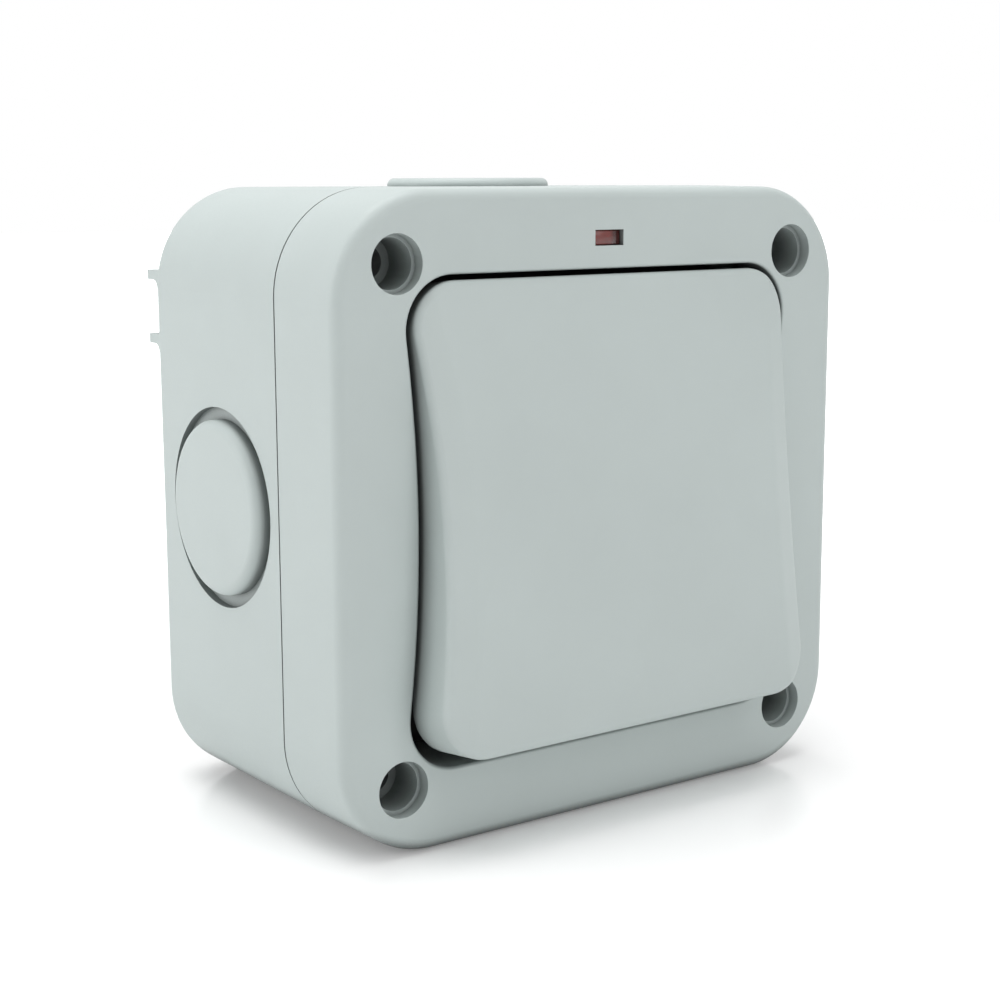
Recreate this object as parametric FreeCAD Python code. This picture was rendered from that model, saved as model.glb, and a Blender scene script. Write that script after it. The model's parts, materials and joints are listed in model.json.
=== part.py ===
import FreeCAD, Part
import math
import os

from FreeCAD import Vector

# Surface-mounted weatherproof switch with one large rocker.
# Lengths are millimetres and angles are degrees. X runs to the right, Y into the wall, Z up.
# The wall is the plane Y = 0. A depth is measured from the cover's front face towards the wall.

# Enclosure
BOX_SIZE = 92.4             # outside width and height of the base and of the cover at the seam
COVER_TAPER = 0.2           # each side, from the seam to the front face
CORNER_R = 15.0             # outside corner radius, seen from the front
BOX_DEPTH = 52.0            # front face to back face
SEAM_DEPTH = 15.4           # front face to the cover's rim
SEAM_GAP = 0.3              # visible joint between cover and base
COVER_WALL = 3.0
FRONT_PANEL = 3.0
COVER_EDGE_R = 1.8          # soft edge round the front face
BASE_WALL = 2.8
BASE_FLOOR = 3.0
BASE_EDGE_R = 1.0           # soft edge round the back face

# Rim and lugs on the back that hold the box off the wall
RIM_HEIGHT = 3.2
RIM_INSET = 3.5
RIM_WIDTH = 2.6
LUG_THICKNESS = 1.45
LUG_UPPER_Z = 33.1
LUG_LOWER_Z = 23.4
LUG_INSET = 0.3
LUG_FILLET = 1.3

# Two wall fixings on one diagonal
FIXING_INSET = 22.2         # box edge to the fixing, along Z
FIXING_R = 3.0
FIXING_BOSS_R = 5.0
FIXING_BOSS_HEIGHT = 4.0
FIXING_CAP_WALL = 1.1
FIXING_CAP_CLEARANCE = 0.05
FIXING_CAP_HEADROOM = 3.4   # for the head of a wall screw
FIXING_CAP_EDGE_R = 0.6
FIXING_CAP_GAP = 0.8        # skirt to the base's floor

# Gasket in the base's rim
GASKET_WIDTH = 1.2
GASKET_DEPTH = 1.6
GASKET_CLEARANCE = 0.1

# Corner screws, sunk in stepped holes
SCREW_INSET = 10.0          # box edge to the screw
SCREW_BOSS_R = 5.6
CAP_SEAT_R = 4.06
CAP_SEAT_DEPTH = 1.9
DRIVER_HOLE_R = 3.5
DRIVER_HOLE_DEPTH = 7.5
HEAD_POCKET_R = 2.25
HEAD_POCKET_DEPTH = 13.2
HEAD_CLEARANCE = 0.12
SCREW_HEAD_HEIGHT = 2.0
SCREW_R = 1.5
SCREW_LENGTH = 15.0
SHANK_CLEARANCE = 0.2
SEAL_THICKNESS = 0.6
INSERT_R = 2.6
INSERT_LENGTH = 8.0
INSERT_RECESS = 0.4
THREAD_CLEARANCE = 0.05
DRIVE_WIDTH = 0.7
DRIVE_DEPTH = 1.0

# Waisted opening for the rocker
OPENING_SIDE_MARGIN = 13.2  # box edge to the opening at mid height
OPENING_END_MARGIN = 11.65
OPENING_SIDE_R = 203.0      # the sides bow in towards mid height
OPENING_CORNER_R = 7.5
OPENING_EDGE_R = 0.5
COLLAR_WALL = 2.2
COLLAR_DEPTH = 13.6

# Rocker, described level and then turned to rest with its top pressed in
ROCKER_END_GAP = 1.65
ROCKER_SIDE_GAP = 0.75
ROCKER_TILT = 6.7           # to each side of level
PIVOT_DEPTH = 6.0
ROCKER_CROWN = 6.5          # height of the face in front of the cover at mid height
ROCKER_CROWN_R = 280.0
ROCKER_BEVEL_WIDTH = 4.2    # sloped band along each side of the face
ROCKER_BEVEL_DROP = 1.3
ROCKER_FOLD_R = 4.0         # soft fold between face and band
ROCKER_EDGE_R = 1.2         # soft edge between front and walls
ROCKER_WALL = 2.0
ROCKER_FACE_WALL = 2.4
ROCKER_SKIRT_DEPTH = 4.0
ROCKER_EAR_DEPTH = 9.5
ROCKER_EAR_HALF = 8.0
TRUNNION_R = 2.4
TRUNNION_LENGTH = 3.4
TRUNNION_CLEARANCE = 0.05
TRUNNION_END_GAP = 0.7
PIVOT_BOSS_R = 5.0
PIVOT_BOSS_WALL = 1.6

# Pushers on the rocker, the rubber boot and the inner dolly they work
PUSHER_OFFSET = 9.0
PUSHER_WIDTH = 12.0
PUSHER_THICKNESS = 3.0
PUSHER_REACH = 7.5          # rocker axis to the pusher's tip
RIB_THICKNESS = 1.6
RIB_SPACING = 20.0
MEMBRANE_T = 1.0
MEMBRANE_GAP = 0.4          # to the bosses and posts that pass its edge
BOOT_CLEARANCE = 0.2
BOOT_WIDTH = 25.6
BOOT_HEIGHT = 29.0
BOOT_FRONT_DEPTH = 11.8
BOOT_BACK_DEPTH = 16.4

# Carrier plate that clamps the membrane and holds the switch
PLATE_T = 2.0
PLATE_SIDE_INSET = 3.7
PLATE_END_INSET = 8.2
PLATE_CORNER_R = 2.0
PLATE_GAP = 0.6             # to the corner bosses
WINDOW_GAP = 1.4            # plate window round the boot
POST_INSET = 7.0
POST_Z = 20.0
POST_R = 3.0
SMALL_SCREW_R = 1.25
SMALL_SCREW_LENGTH = 8.0
SMALL_HEAD_R = 2.5
SMALL_HEAD_HEIGHT = 1.6

# Switch housing
HOUSING_SIZE = 50.0
HOUSING_DEPTH = 25.4
HOUSING_BACK = 2.5
CHAMBER_WIDTH = 27.0
CHAMBER_HEIGHT = 28.0
HOUSING_CORNER_R = 2.0
EAR_LENGTH = 8.0
EAR_WIDTH = 10.0
EAR_THICKNESS = 3.0
INSULATOR_T = 1.5
STAKE_R = 1.2
STAKE_OFFSET = 19.0
STAKE_CLEARANCE = 0.05

# Dolly and its pin
DOLLY_DEPTH = 22.0
DOLLY_FRONT = 7.0           # dolly axis to its front face
DOLLY_BAR_T = 3.6
DOLLY_WIDTH = 24.0
DOLLY_HEIGHT = 24.0
DOLLY_EDGE_R = 0.8
DOLLY_HUB_R = 4.0
DOLLY_WEB_WIDTH = 16.0
DOLLY_WEB_HEIGHT = 7.0
PIN_R = 1.5
PIN_LENGTH = 40.0
PIN_CLEARANCE = 0.05
BARREL_R = 4.2
BARREL_LENGTH = 8.0
SPRING_BORE_R = 2.6
SPRING_BORE_START = 1.0
PLUNGER_CLEARANCE = 0.1
PLUNGER_SHOULDER = 6.2      # dolly axis to the plunger's shoulder
PLUNGER_REACH = 9.5         # dolly axis to the plunger's tip
PLUNGER_STEM_R = 1.1
PLUNGER_STEM_LENGTH = 3.0
SPRING_WIRE_R = 0.2
SPRING_COIL_R = 1.9
SPRING_TURNS = 4
SPRING_END_GAP = 0.1

# Rocking contact
BLADE_AXIS_DEPTH = 33.85
BLADE_TILT = 8.0
BLADE_CLEARANCE = 0.2       # blade's back face to the ridge it rocks on
RIDGE_R = 0.8
BLADE_T = 1.2
BLADE_WIDTH = 8.0
BLADE_LENGTH = 23.0
CONTACT_OFFSET = 10.0
CONTACT_R = 1.3
CONTACT_HEIGHT = 1.0
CONTACT_GAP = 0.1
BUTTON_R = 1.8

# Terminals
STRIP_T = 1.2
STRIP_WIDTH = 6.0
STRIP_DEPTH = 36.4
STRIP_CLEARANCE = 0.3
BLOCK_SIZE = 7.0
BLOCK_LENGTH = 10.8
BLOCK_CLEARANCE = 0.2
BLOCK_WALL = 1.4            # housing wall between chamber and block
WIRE_HOLE_R = 1.75
WIRE_HOLE_DEPTH = 34.0
TERMINAL_SCREW_R = 1.6
TERMINAL_SCREW_LENGTH = 6.0
TERMINAL_HEAD_R = 2.8
TERMINAL_HEAD_HEIGHT = 2.0
TERMINAL_HEAD_GAP = 0.5
SLOT_WIDTH = 0.8
SLOT_DEPTH = 0.9

# Earth terminal on the base's floor
EARTH_X = 20.0
EARTH_INSET = 10.7
EARTH_POST_HEIGHT = 3.0

# Cable entries and their push-in plugs
SIDE_ENTRY_DEPTH = 32.8
SIDE_ENTRY_R = 10.0
SIDE_PLUG_R = 12.95
SIDE_PLUG_PROUD = 1.4
SIDE_PLUG_EDGE_R = 1.5
ENTRY_RECESS_R = 14.8
ENTRY_RECESS = 1.2
TOP_ENTRY_DEPTH = 35.2
TOP_ENTRY_R = 9.8
TOP_PLUG_R = 12.65
TOP_PLUG_PROUD = 1.25
TOP_PLUG_EDGE_R = 1.1
SPIGOT_WALL = 1.8
SPIGOT_CLEARANCE = 0.1
SPIGOT_LENGTH = 6.0
BARB_PROUD = 0.5
BARB_LENGTH = 2.0
BARB_GAP = 0.05

# Neon indicator above the rocker
WINDOW_WIDTH = 5.2
WINDOW_HEIGHT = 2.25
WINDOW_INSET = 7.25         # box edge to the window's middle
LENS_CLEARANCE = 0.08
LENS_RECESS = 0.7
LENS_FLANGE = 1.0
LENS_FLANGE_T = 1.2
LAMP_R = 2.0
LAMP_LENGTH = 12.0
LAMP_DEPTH = 6.8
LAMP_RISE = 0.65            # lamp's axis above the window's middle
CRADLE_T = 1.5
CRADLE_GAP = 0.4            # to the lens's flange
CRADLE_CLEARANCE = 0.05
RESISTOR_R = 1.2
RESISTOR_LENGTH = 6.5
RESISTOR_X = 13.0
LEAD_R = 0.6
LEAD_BEND_R = 2.0
LEAD_ROOM = 3.0
LEAD_TURN_DEPTH = 20.0
LEAD_END_GAP = 0.1

# Places worked out from the sizes above
FRONT = -(BOX_DEPTH + RIM_HEIGHT)
HALF = BOX_SIZE / 2
FRONT_SIZE = BOX_SIZE - 2 * COVER_TAPER
SCREW_AT = HALF - SCREW_INSET
FIXING_X = (HOUSING_SIZE / 2 + HALF - BASE_WALL) / 2
FIXING_Z = HALF - FIXING_INSET
OPENING_WAIST = BOX_SIZE - 2 * OPENING_SIDE_MARGIN
OPENING_HEIGHT = BOX_SIZE - 2 * OPENING_END_MARGIN
ROCKER_LENGTH = OPENING_HEIGHT - 2 * ROCKER_END_GAP
PLATE_WIDTH = BOX_SIZE - 2 * PLATE_SIDE_INSET
PLATE_HEIGHT = BOX_SIZE - 2 * PLATE_END_INSET
POST_X = HALF - POST_INSET
EARTH_Z = EARTH_INSET - HALF
WINDOW_Z = HALF - WINDOW_INSET
LAMP_Z = WINDOW_Z + LAMP_RISE
RIM_START = SEAM_DEPTH + SEAM_GAP
FLOOR_DEPTH = BOX_DEPTH - BASE_FLOOR
MEMBRANE_DEPTH = COLLAR_DEPTH
PLATE_DEPTH = MEMBRANE_DEPTH + MEMBRANE_T
HOUSING_FRONT = PLATE_DEPTH + PLATE_T
HOUSING_REAR = HOUSING_FRONT + HOUSING_DEPTH
ROCKER_WAIST = OPENING_WAIST - 2 * ROCKER_SIDE_GAP
TRUNNION_END = ROCKER_WAIST / 2 + TRUNNION_LENGTH
BUTTON_DEPTH = (BLADE_AXIS_DEPTH + CONTACT_GAP
                + (CONTACT_OFFSET + CONTACT_R) * math.sin(math.radians(BLADE_TILT)))
BLOCK_START = CHAMBER_HEIGHT / 2 + BLOCK_WALL + BLOCK_CLEARANCE
CORNERS = [(sx, sz) for sx in (-1, 1) for sz in (-1, 1)]
PAST = 1.0                  # how far a cutter runs past the face that it opens
AXIS_X = Vector(1, 0, 0)
AXIS_Y = Vector(0, 1, 0)
AXIS_Z = Vector(0, 0, 1)


def at(x, depth, z):
    """Point at a depth behind the front face."""
    return Vector(x, FRONT + depth, z)


def block(x0, x1, d0, d1, z0, z1):
    """Box between two depths."""
    return Part.makeBox(x1 - x0, d1 - d0, z1 - z0, at(x0, d0, z0))


def rod_x(radius, depth, z, x0, x1):
    """Round rod along X."""
    return Part.makeCylinder(radius, x1 - x0, at(x0, depth, z), AXIS_X)


def rod_y(radius, x, z, d0, d1):
    """Round rod along the depth."""
    return Part.makeCylinder(radius, d1 - d0, at(x, d0, z), AXIS_Y)


def rod_z(radius, x, depth, z0, z1):
    """Round rod along Z."""
    return Part.makeCylinder(radius, z1 - z0, at(x, depth, z0), AXIS_Z)


def joined(first, *others):
    """One solid from several that overlap."""
    return first.fuse(list(others)).removeSplitter()


def without(shape, *tools):
    """Shape with the tools cut away."""
    return shape.cut(list(tools)).removeSplitter()


def round_along_depth(shape, radius):
    """Round the straight edges that run along the depth."""
    edges = [e for e in shape.Edges if abs(e.tangentAt(e.FirstParameter).y) > 0.999]
    return shape.makeFillet(radius, edges)


def edges_at_depth(shape, depth):
    """Edges that lie in the plane at a depth."""
    y = FRONT + depth
    return [e for e in shape.Edges
            if abs(e.BoundBox.YMin - y) < 1e-4 and abs(e.BoundBox.YMax - y) < 1e-4]


def slab(width, height, radius, d0, d1):
    """Centred block with rounded corners, between two depths."""
    return round_along_depth(block(-width / 2, width / 2, d0, d1, -height / 2, height / 2), radius)


def ring(outer_size, wall, radius, d0, d1):
    """Square ring with rounded corners."""
    inner = slab(outer_size - 2 * wall, outer_size - 2 * wall, radius - wall, d0 - PAST, d1 + PAST)
    return without(slab(outer_size, outer_size, radius, d0, d1), inner)


def rounded_wire(size, radius, depth):
    """Outline of a square with rounded corners."""
    flat = slab(size, size, radius, depth, depth + PAST)
    return min(flat.Faces, key=lambda f: f.CenterOfMass.y).OuterWire


def waisted(grow, d0, d1):
    """Block with the opening's bowed sides, grown outwards on every side."""
    half_z = OPENING_HEIGHT / 2 + grow
    side_r = OPENING_SIDE_R - grow
    waist = OPENING_WAIST / 2 + grow
    reach = waist + side_r - math.sqrt(side_r ** 2 - half_z ** 2)
    return round_along_depth(bowed_prism(waist, reach, half_z, d0, d1), OPENING_CORNER_R + grow)


def bowed_prism(waist, reach, half_z, d0, d1):
    """Prism whose sides bow in from the corners' reach to the waist."""
    left = Part.Arc(at(-reach, d0, half_z), at(-waist, d0, 0), at(-reach, d0, -half_z)).toShape()
    right = Part.Arc(at(reach, d0, -half_z), at(waist, d0, 0), at(reach, d0, half_z)).toShape()
    bottom = Part.makeLine(at(-reach, d0, -half_z), at(reach, d0, -half_z))
    top = Part.makeLine(at(reach, d0, half_z), at(-reach, d0, half_z))
    return Part.Face(Part.Wire([left, bottom, right, top])).extrude(AXIS_Y * (d1 - d0))


def revolved_x(profile, depth, z):
    """Solid of revolution about X from (x, radius) points."""
    points = [at(x, depth, z + radius) for x, radius in profile]
    face = Part.Face(Part.makePolygon(points + points[:1]))
    return face.revolve(at(0, depth, z), AXIS_X, 360)


def drive_cross(x, z, depth, half):
    """Cross recess cut into a screw head from the front."""
    deep = depth + DRIVE_DEPTH
    flat = block(x - half, x + half, depth - PAST, deep, z - DRIVE_WIDTH / 2, z + DRIVE_WIDTH / 2)
    tall = block(x - DRIVE_WIDTH / 2, x + DRIVE_WIDTH / 2, depth - PAST, deep, z - half, z + half)
    return flat.fuse(tall)


# Enclosure

def stepped_hole(x, z):
    """Corner hole: cap seat, driver hole, head pocket and shank hole."""
    steps = [(CAP_SEAT_R, CAP_SEAT_DEPTH), (DRIVER_HOLE_R, DRIVER_HOLE_DEPTH),
             (HEAD_POCKET_R, HEAD_POCKET_DEPTH), (SCREW_R + SHANK_CLEARANCE, SEAM_DEPTH + PAST)]
    tools = [rod_y(radius, x, z, -PAST, depth) for radius, depth in steps]
    return tools[0].fuse(tools[1:])


def lamp_cradles():
    """Two saddles behind the front panel for the lamp, and two for its resistor."""
    saddles = []
    lamp_spacing = WINDOW_WIDTH + 2 * (LENS_FLANGE + CRADLE_GAP - LENS_CLEARANCE) + CRADLE_T
    for radius, middle, spacing in ((LAMP_R, 0.0, lamp_spacing),
                                    (RESISTOR_R, RESISTOR_X, RESISTOR_LENGTH - CRADLE_T)):
        for side in (-1, 1):
            x = middle + side * spacing / 2
            post = block(x - CRADLE_T / 2, x + CRADLE_T / 2, FRONT_PANEL / 2, LAMP_DEPTH,
                         LAMP_Z - radius, LAMP_Z + radius)
            seat = rod_x(radius + CRADLE_CLEARANCE, LAMP_DEPTH, LAMP_Z, x - CRADLE_T, x + CRADLE_T)
            saddles.append(post.cut(seat))
    return saddles


def cover():
    """Front shell with the rocker's collar, stepped screw bosses and bearings."""
    outline = Part.makeLoft([rounded_wire(FRONT_SIZE, CORNER_R, 0),
                             rounded_wire(BOX_SIZE, CORNER_R, SEAM_DEPTH)], True, True)
    outline = outline.makeFillet(COVER_EDGE_R, edges_at_depth(outline, 0))
    cavity_size = BOX_SIZE - 2 * COVER_WALL
    cavity = slab(cavity_size, cavity_size, CORNER_R - COVER_WALL, FRONT_PANEL, SEAM_DEPTH + PAST)
    inside = FRONT_PANEL / 2
    added = [waisted(COLLAR_WALL, inside, COLLAR_DEPTH)] + lamp_cradles()
    cuts = [waisted(0, -PAST, COLLAR_DEPTH + PAST)]
    for sx, sz in CORNERS:
        added.append(rod_y(SCREW_BOSS_R, sx * SCREW_AT, sz * SCREW_AT, inside, SEAM_DEPTH))
        cuts.append(stepped_hole(sx * SCREW_AT, sz * SCREW_AT))
        added.append(rod_y(POST_R, sx * POST_X, sz * POST_Z, inside, PLATE_DEPTH))
        cuts.append(rod_y(SMALL_SCREW_R + THREAD_CLEARANCE, sx * POST_X, sz * POST_Z,
                          PLATE_DEPTH - SMALL_SCREW_LENGTH, PLATE_DEPTH + PAST))
    bearing_end = TRUNNION_END + TRUNNION_END_GAP
    for side in (-1, 1):
        near, far = sorted((side * OPENING_WAIST / 2, side * (bearing_end + PIVOT_BOSS_WALL)))
        added.append(rod_x(PIVOT_BOSS_R, PIVOT_DEPTH, 0, near, far))
    cuts.append(rod_x(TRUNNION_R + TRUNNION_CLEARANCE, PIVOT_DEPTH, 0, -bearing_end, bearing_end))
    cuts.append(block(-WINDOW_WIDTH / 2, WINDOW_WIDTH / 2, -PAST, FRONT_PANEL + PAST,
                      WINDOW_Z - WINDOW_HEIGHT / 2, WINDOW_Z + WINDOW_HEIGHT / 2))
    body = without(joined(without(outline, cavity), *added), *cuts)
    mouth = [e for e in edges_at_depth(body, 0) if e.BoundBox.DiagonalLength > 2 * CAP_SEAT_R * math.sqrt(2)
             and max(abs(e.BoundBox.XMax), abs(e.BoundBox.XMin)) < OPENING_WAIST / 2 + OPENING_CORNER_R
             and max(abs(e.BoundBox.ZMax), abs(e.BoundBox.ZMin)) < OPENING_HEIGHT / 2 + PAST]
    return body.makeFillet(OPENING_EDGE_R, mouth) if mouth else body


def lug(z):
    """Short stand-off lug at the box's left edge, with a hollow curve under it."""
    top = z + LUG_THICKNESS / 2
    low = z - LUG_THICKNESS / 2
    base_y, wall_y = FRONT + BOX_DEPTH, 0.0
    x = -HALF + LUG_INSET
    bend = LUG_FILLET * (1 - math.sqrt(0.5))
    points = {"root_top": (base_y - PAST, top), "tip_top": (wall_y, top), "tip_low": (wall_y, low),
              "curve_start": (base_y + LUG_FILLET, low), "curve_mid": (base_y + bend, low - bend),
              "curve_end": (base_y, low - LUG_FILLET), "root_low": (base_y - PAST, low - LUG_FILLET)}
    p = {name: Vector(x, y, height) for name, (y, height) in points.items()}
    edges = [Part.makeLine(p["root_top"], p["tip_top"]), Part.makeLine(p["tip_top"], p["tip_low"]),
             Part.makeLine(p["tip_low"], p["curve_start"]),
             Part.Arc(p["curve_start"], p["curve_mid"], p["curve_end"]).toShape(),
             Part.makeLine(p["curve_end"], p["root_low"]), Part.makeLine(p["root_low"], p["root_top"])]
    return Part.Face(Part.Wire(edges)).extrude(AXIS_X * (RIM_INSET + RIM_WIDTH / 2 - LUG_INSET))


def base_box():
    """Rear tub with screw pillars, cable entries, and stand-off rim, lugs and fixings on its back."""
    outer = slab(BOX_SIZE, BOX_SIZE, CORNER_R, RIM_START, BOX_DEPTH)
    outer = outer.makeFillet(BASE_EDGE_R, edges_at_depth(outer, BOX_DEPTH))
    inner_size = BOX_SIZE - 2 * BASE_WALL
    cavity = slab(inner_size, inner_size, CORNER_R - BASE_WALL, RIM_START - PAST, FLOOR_DEPTH)
    wall_plane = BOX_DEPTH + RIM_HEIGHT
    added = [ring(BOX_SIZE - 2 * RIM_INSET, RIM_WIDTH, CORNER_R - RIM_INSET, BOX_DEPTH - PAST, wall_plane)]
    cuts = [gasket_ring(GASKET_CLEARANCE)]
    for side in (-1, 1):
        turn = 0 if side < 0 else 180
        for z in (LUG_UPPER_Z, LUG_LOWER_Z):
            added.append(lug(z).rotate(Vector(0, 0, 0), AXIS_Y, turn))
        x, z = side * FIXING_X, -side * FIXING_Z
        added.append(rod_y(FIXING_BOSS_R, x, z, FLOOR_DEPTH - FIXING_BOSS_HEIGHT, wall_plane))
        cuts.append(rod_y(FIXING_R, x, z, 0, wall_plane + PAST))
        outside, recess = sorted((side * (HALF + PAST), side * (HALF - ENTRY_RECESS)))
        cuts.append(rod_x(ENTRY_RECESS_R, SIDE_ENTRY_DEPTH, 0, outside, recess))
    cuts.append(rod_x(SIDE_ENTRY_R, SIDE_ENTRY_DEPTH, 0, -HALF - PAST, HALF + PAST))
    cuts.append(rod_z(TOP_ENTRY_R, 0, TOP_ENTRY_DEPTH, 0, HALF + PAST))
    shank_end = HEAD_POCKET_DEPTH + SCREW_LENGTH + PAST
    for sx, sz in CORNERS:
        x, z = sx * SCREW_AT, sz * SCREW_AT
        added.append(rod_y(SCREW_BOSS_R, x, z, RIM_START, BOX_DEPTH - PAST))
        cuts.append(rod_y(INSERT_R, x, z, RIM_START - PAST, RIM_START + INSERT_RECESS + INSERT_LENGTH))
        cuts.append(rod_y(SCREW_R + SHANK_CLEARANCE, x, z, RIM_START, shank_end))
    added.append(block(EARTH_X - BLOCK_SIZE / 2, EARTH_X + BLOCK_SIZE / 2, FLOOR_DEPTH - EARTH_POST_HEIGHT,
                       FLOOR_DEPTH + PAST, EARTH_Z - BLOCK_SIZE / 2, EARTH_Z + BLOCK_SIZE / 2))
    return without(joined(without(outer, cavity), *added), *cuts)


def fixing_caps():
    """Rubber caps that seal the inner ends of the two wall fixings."""
    boss_front = FLOOR_DEPTH - FIXING_BOSS_HEIGHT
    inner_r = FIXING_BOSS_R + FIXING_CAP_CLEARANCE
    roof = boss_front - FIXING_CAP_HEADROOM
    front = roof - FIXING_CAP_WALL
    caps = []
    for side in (-1, 1):
        x, z = side * FIXING_X, -side * FIXING_Z
        cup = rod_y(inner_r + FIXING_CAP_WALL, x, z, front, FLOOR_DEPTH - FIXING_CAP_GAP)
        cup = cup.makeFillet(FIXING_CAP_EDGE_R, edges_at_depth(cup, front))
        caps.append(without(cup, rod_y(inner_r, x, z, roof, FLOOR_DEPTH)))
    return Part.makeCompound(caps)


def gasket_ring(clearance):
    """Square ring in the middle of the base's rim, widened by a clearance."""
    inset = (BASE_WALL - GASKET_WIDTH) / 2 - clearance
    return ring(BOX_SIZE - 2 * inset, GASKET_WIDTH + 2 * clearance, CORNER_R - inset,
                SEAM_DEPTH, SEAM_DEPTH + SEAM_GAP + GASKET_DEPTH + clearance)


def cover_gasket():
    """Rubber ring that stands out of its groove to meet the cover's rim."""
    return gasket_ring(0)


def cover_screws():
    """Four sunk cover screws with cross recesses."""
    head_end = HEAD_POCKET_DEPTH - SEAL_THICKNESS
    head_start = head_end - SCREW_HEAD_HEIGHT
    screws = []
    for sx, sz in CORNERS:
        x, z = sx * SCREW_AT, sz * SCREW_AT
        head = rod_y(HEAD_POCKET_R - HEAD_CLEARANCE, x, z, head_start, head_end)
        shank = rod_y(SCREW_R, x, z, head_start, head_end + SCREW_LENGTH)
        screws.append(without(joined(head, shank), drive_cross(x, z, head_start, SCREW_R)))
    return Part.makeCompound(screws)


def screw_seals():
    """Rubber washers under the cover screws' heads."""
    start = HEAD_POCKET_DEPTH - SEAL_THICKNESS
    seals = []
    for sx, sz in CORNERS:
        x, z = sx * SCREW_AT, sz * SCREW_AT
        washer = rod_y(HEAD_POCKET_R - HEAD_CLEARANCE, x, z, start, HEAD_POCKET_DEPTH)
        hole = rod_y(SCREW_R + THREAD_CLEARANCE, x, z, start - PAST, HEAD_POCKET_DEPTH + PAST)
        seals.append(without(washer, hole))
    return Part.makeCompound(seals)


def threaded_inserts():
    """Brass inserts in the base's pillars."""
    start = RIM_START + INSERT_RECESS
    inserts = []
    for sx, sz in CORNERS:
        x, z = sx * SCREW_AT, sz * SCREW_AT
        sleeve = rod_y(INSERT_R, x, z, start, start + INSERT_LENGTH)
        inserts.append(without(sleeve, rod_y(SCREW_R + THREAD_CLEARANCE, x, z, start - PAST,
                                             start + INSERT_LENGTH + PAST)))
    return Part.makeCompound(inserts)


def entry_plug(depth, entry_r, plug_r, proud, edge_r, seat):
    """Push-in plug for an entry on the right side, with a rounded head and a barbed spigot."""
    spigot_r = entry_r - SPIGOT_CLEARANCE
    inner_r = spigot_r - SPIGOT_WALL
    barb = HALF - BASE_WALL - BARB_GAP
    tip = barb - SPIGOT_LENGTH + BARB_LENGTH
    face = HALF + proud
    profile = [(face, 0), (face, plug_r), (seat, plug_r), (seat, spigot_r), (barb, spigot_r),
               (barb, spigot_r + BARB_PROUD), (barb - BARB_LENGTH, spigot_r), (tip, spigot_r),
               (tip, inner_r), (seat, inner_r), (seat, 0)]
    plug = revolved_x(profile, depth, 0)
    rim = [e for e in plug.Edges
           if abs(e.BoundBox.XMin - face) < 1e-4 and abs(e.BoundBox.XMax - face) < 1e-4
           and e.BoundBox.ZMax > plug_r - PAST]
    return plug.makeFillet(edge_r, rim)


def side_plug(turn):
    """Plug of a side entry, seated in its round recess."""
    plug = entry_plug(SIDE_ENTRY_DEPTH, SIDE_ENTRY_R, SIDE_PLUG_R, SIDE_PLUG_PROUD, SIDE_PLUG_EDGE_R,
                      HALF - ENTRY_RECESS)
    return plug.rotate(at(0, SIDE_ENTRY_DEPTH, 0), AXIS_Z, turn)


def top_plug():
    """Plug of the top entry, seated on the wall."""
    plug = entry_plug(TOP_ENTRY_DEPTH, TOP_ENTRY_R, TOP_PLUG_R, TOP_PLUG_PROUD, TOP_PLUG_EDGE_R, HALF)
    return plug.rotate(at(0, TOP_ENTRY_DEPTH, 0), AXIS_Y, -90)


# Rocker

def crowned(height, d1):
    """Wide block whose front is a gentle arch over the rocker's length."""
    half_z = ROCKER_LENGTH
    radius = ROCKER_CROWN_R + height - ROCKER_CROWN
    end = height - radius + math.sqrt(radius ** 2 - half_z ** 2)
    x = -BOX_SIZE
    arch = Part.Arc(at(x, -end, half_z), at(x, -height, 0), at(x, -end, -half_z)).toShape()
    sides = [Part.makeLine(at(x, -end, -half_z), at(x, d1, -half_z)),
             Part.makeLine(at(x, d1, -half_z), at(x, d1, half_z)),
             Part.makeLine(at(x, d1, half_z), at(x, -end, half_z))]
    return Part.Face(Part.Wire([arch] + sides)).extrude(AXIS_X * (2 * BOX_SIZE))


def rocker_prism(inset, d1):
    """Rocker's outline with square corners, drawn in by an inset."""
    half_z = ROCKER_LENGTH / 2 - inset
    side_r = OPENING_SIDE_R + ROCKER_SIDE_GAP + inset
    waist = ROCKER_WAIST / 2 - inset
    reach = waist + side_r - math.sqrt(side_r ** 2 - half_z ** 2)
    return bowed_prism(waist, reach, half_z, -2 * ROCKER_CROWN, d1)


def rocker_corner_r(inset):
    """Corner radius of the rocker's outline, drawn in by an inset."""
    return OPENING_CORNER_R - ROCKER_SIDE_GAP - inset


def paddle(inset, height, d1):
    """Rocker's outline with round corners under a crowned front."""
    return round_along_depth(rocker_prism(inset, d1), rocker_corner_r(inset)).common(crowned(height, d1))


def front_face(shape):
    """Crowned face of the paddle."""
    return min(shape.Faces, key=lambda face: face.CenterOfMass.y)


def side_band(shape, side):
    """Paddle with a sloped band along one bowed side; the band is wider than it is deep."""
    edges = [e for e in front_face(shape).Edges
             if e.BoundBox.ZLength > ROCKER_LENGTH / 2 and e.CenterOfMass.x * side > ROCKER_WAIST / 4]
    ways = ((ROCKER_BEVEL_DROP, ROCKER_BEVEL_WIDTH), (ROCKER_BEVEL_WIDTH, ROCKER_BEVEL_DROP))
    tried = [shape.makeChamfer(near, far, edges) for near, far in ways]
    return min(tried, key=lambda result: front_face(result).Area)


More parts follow.
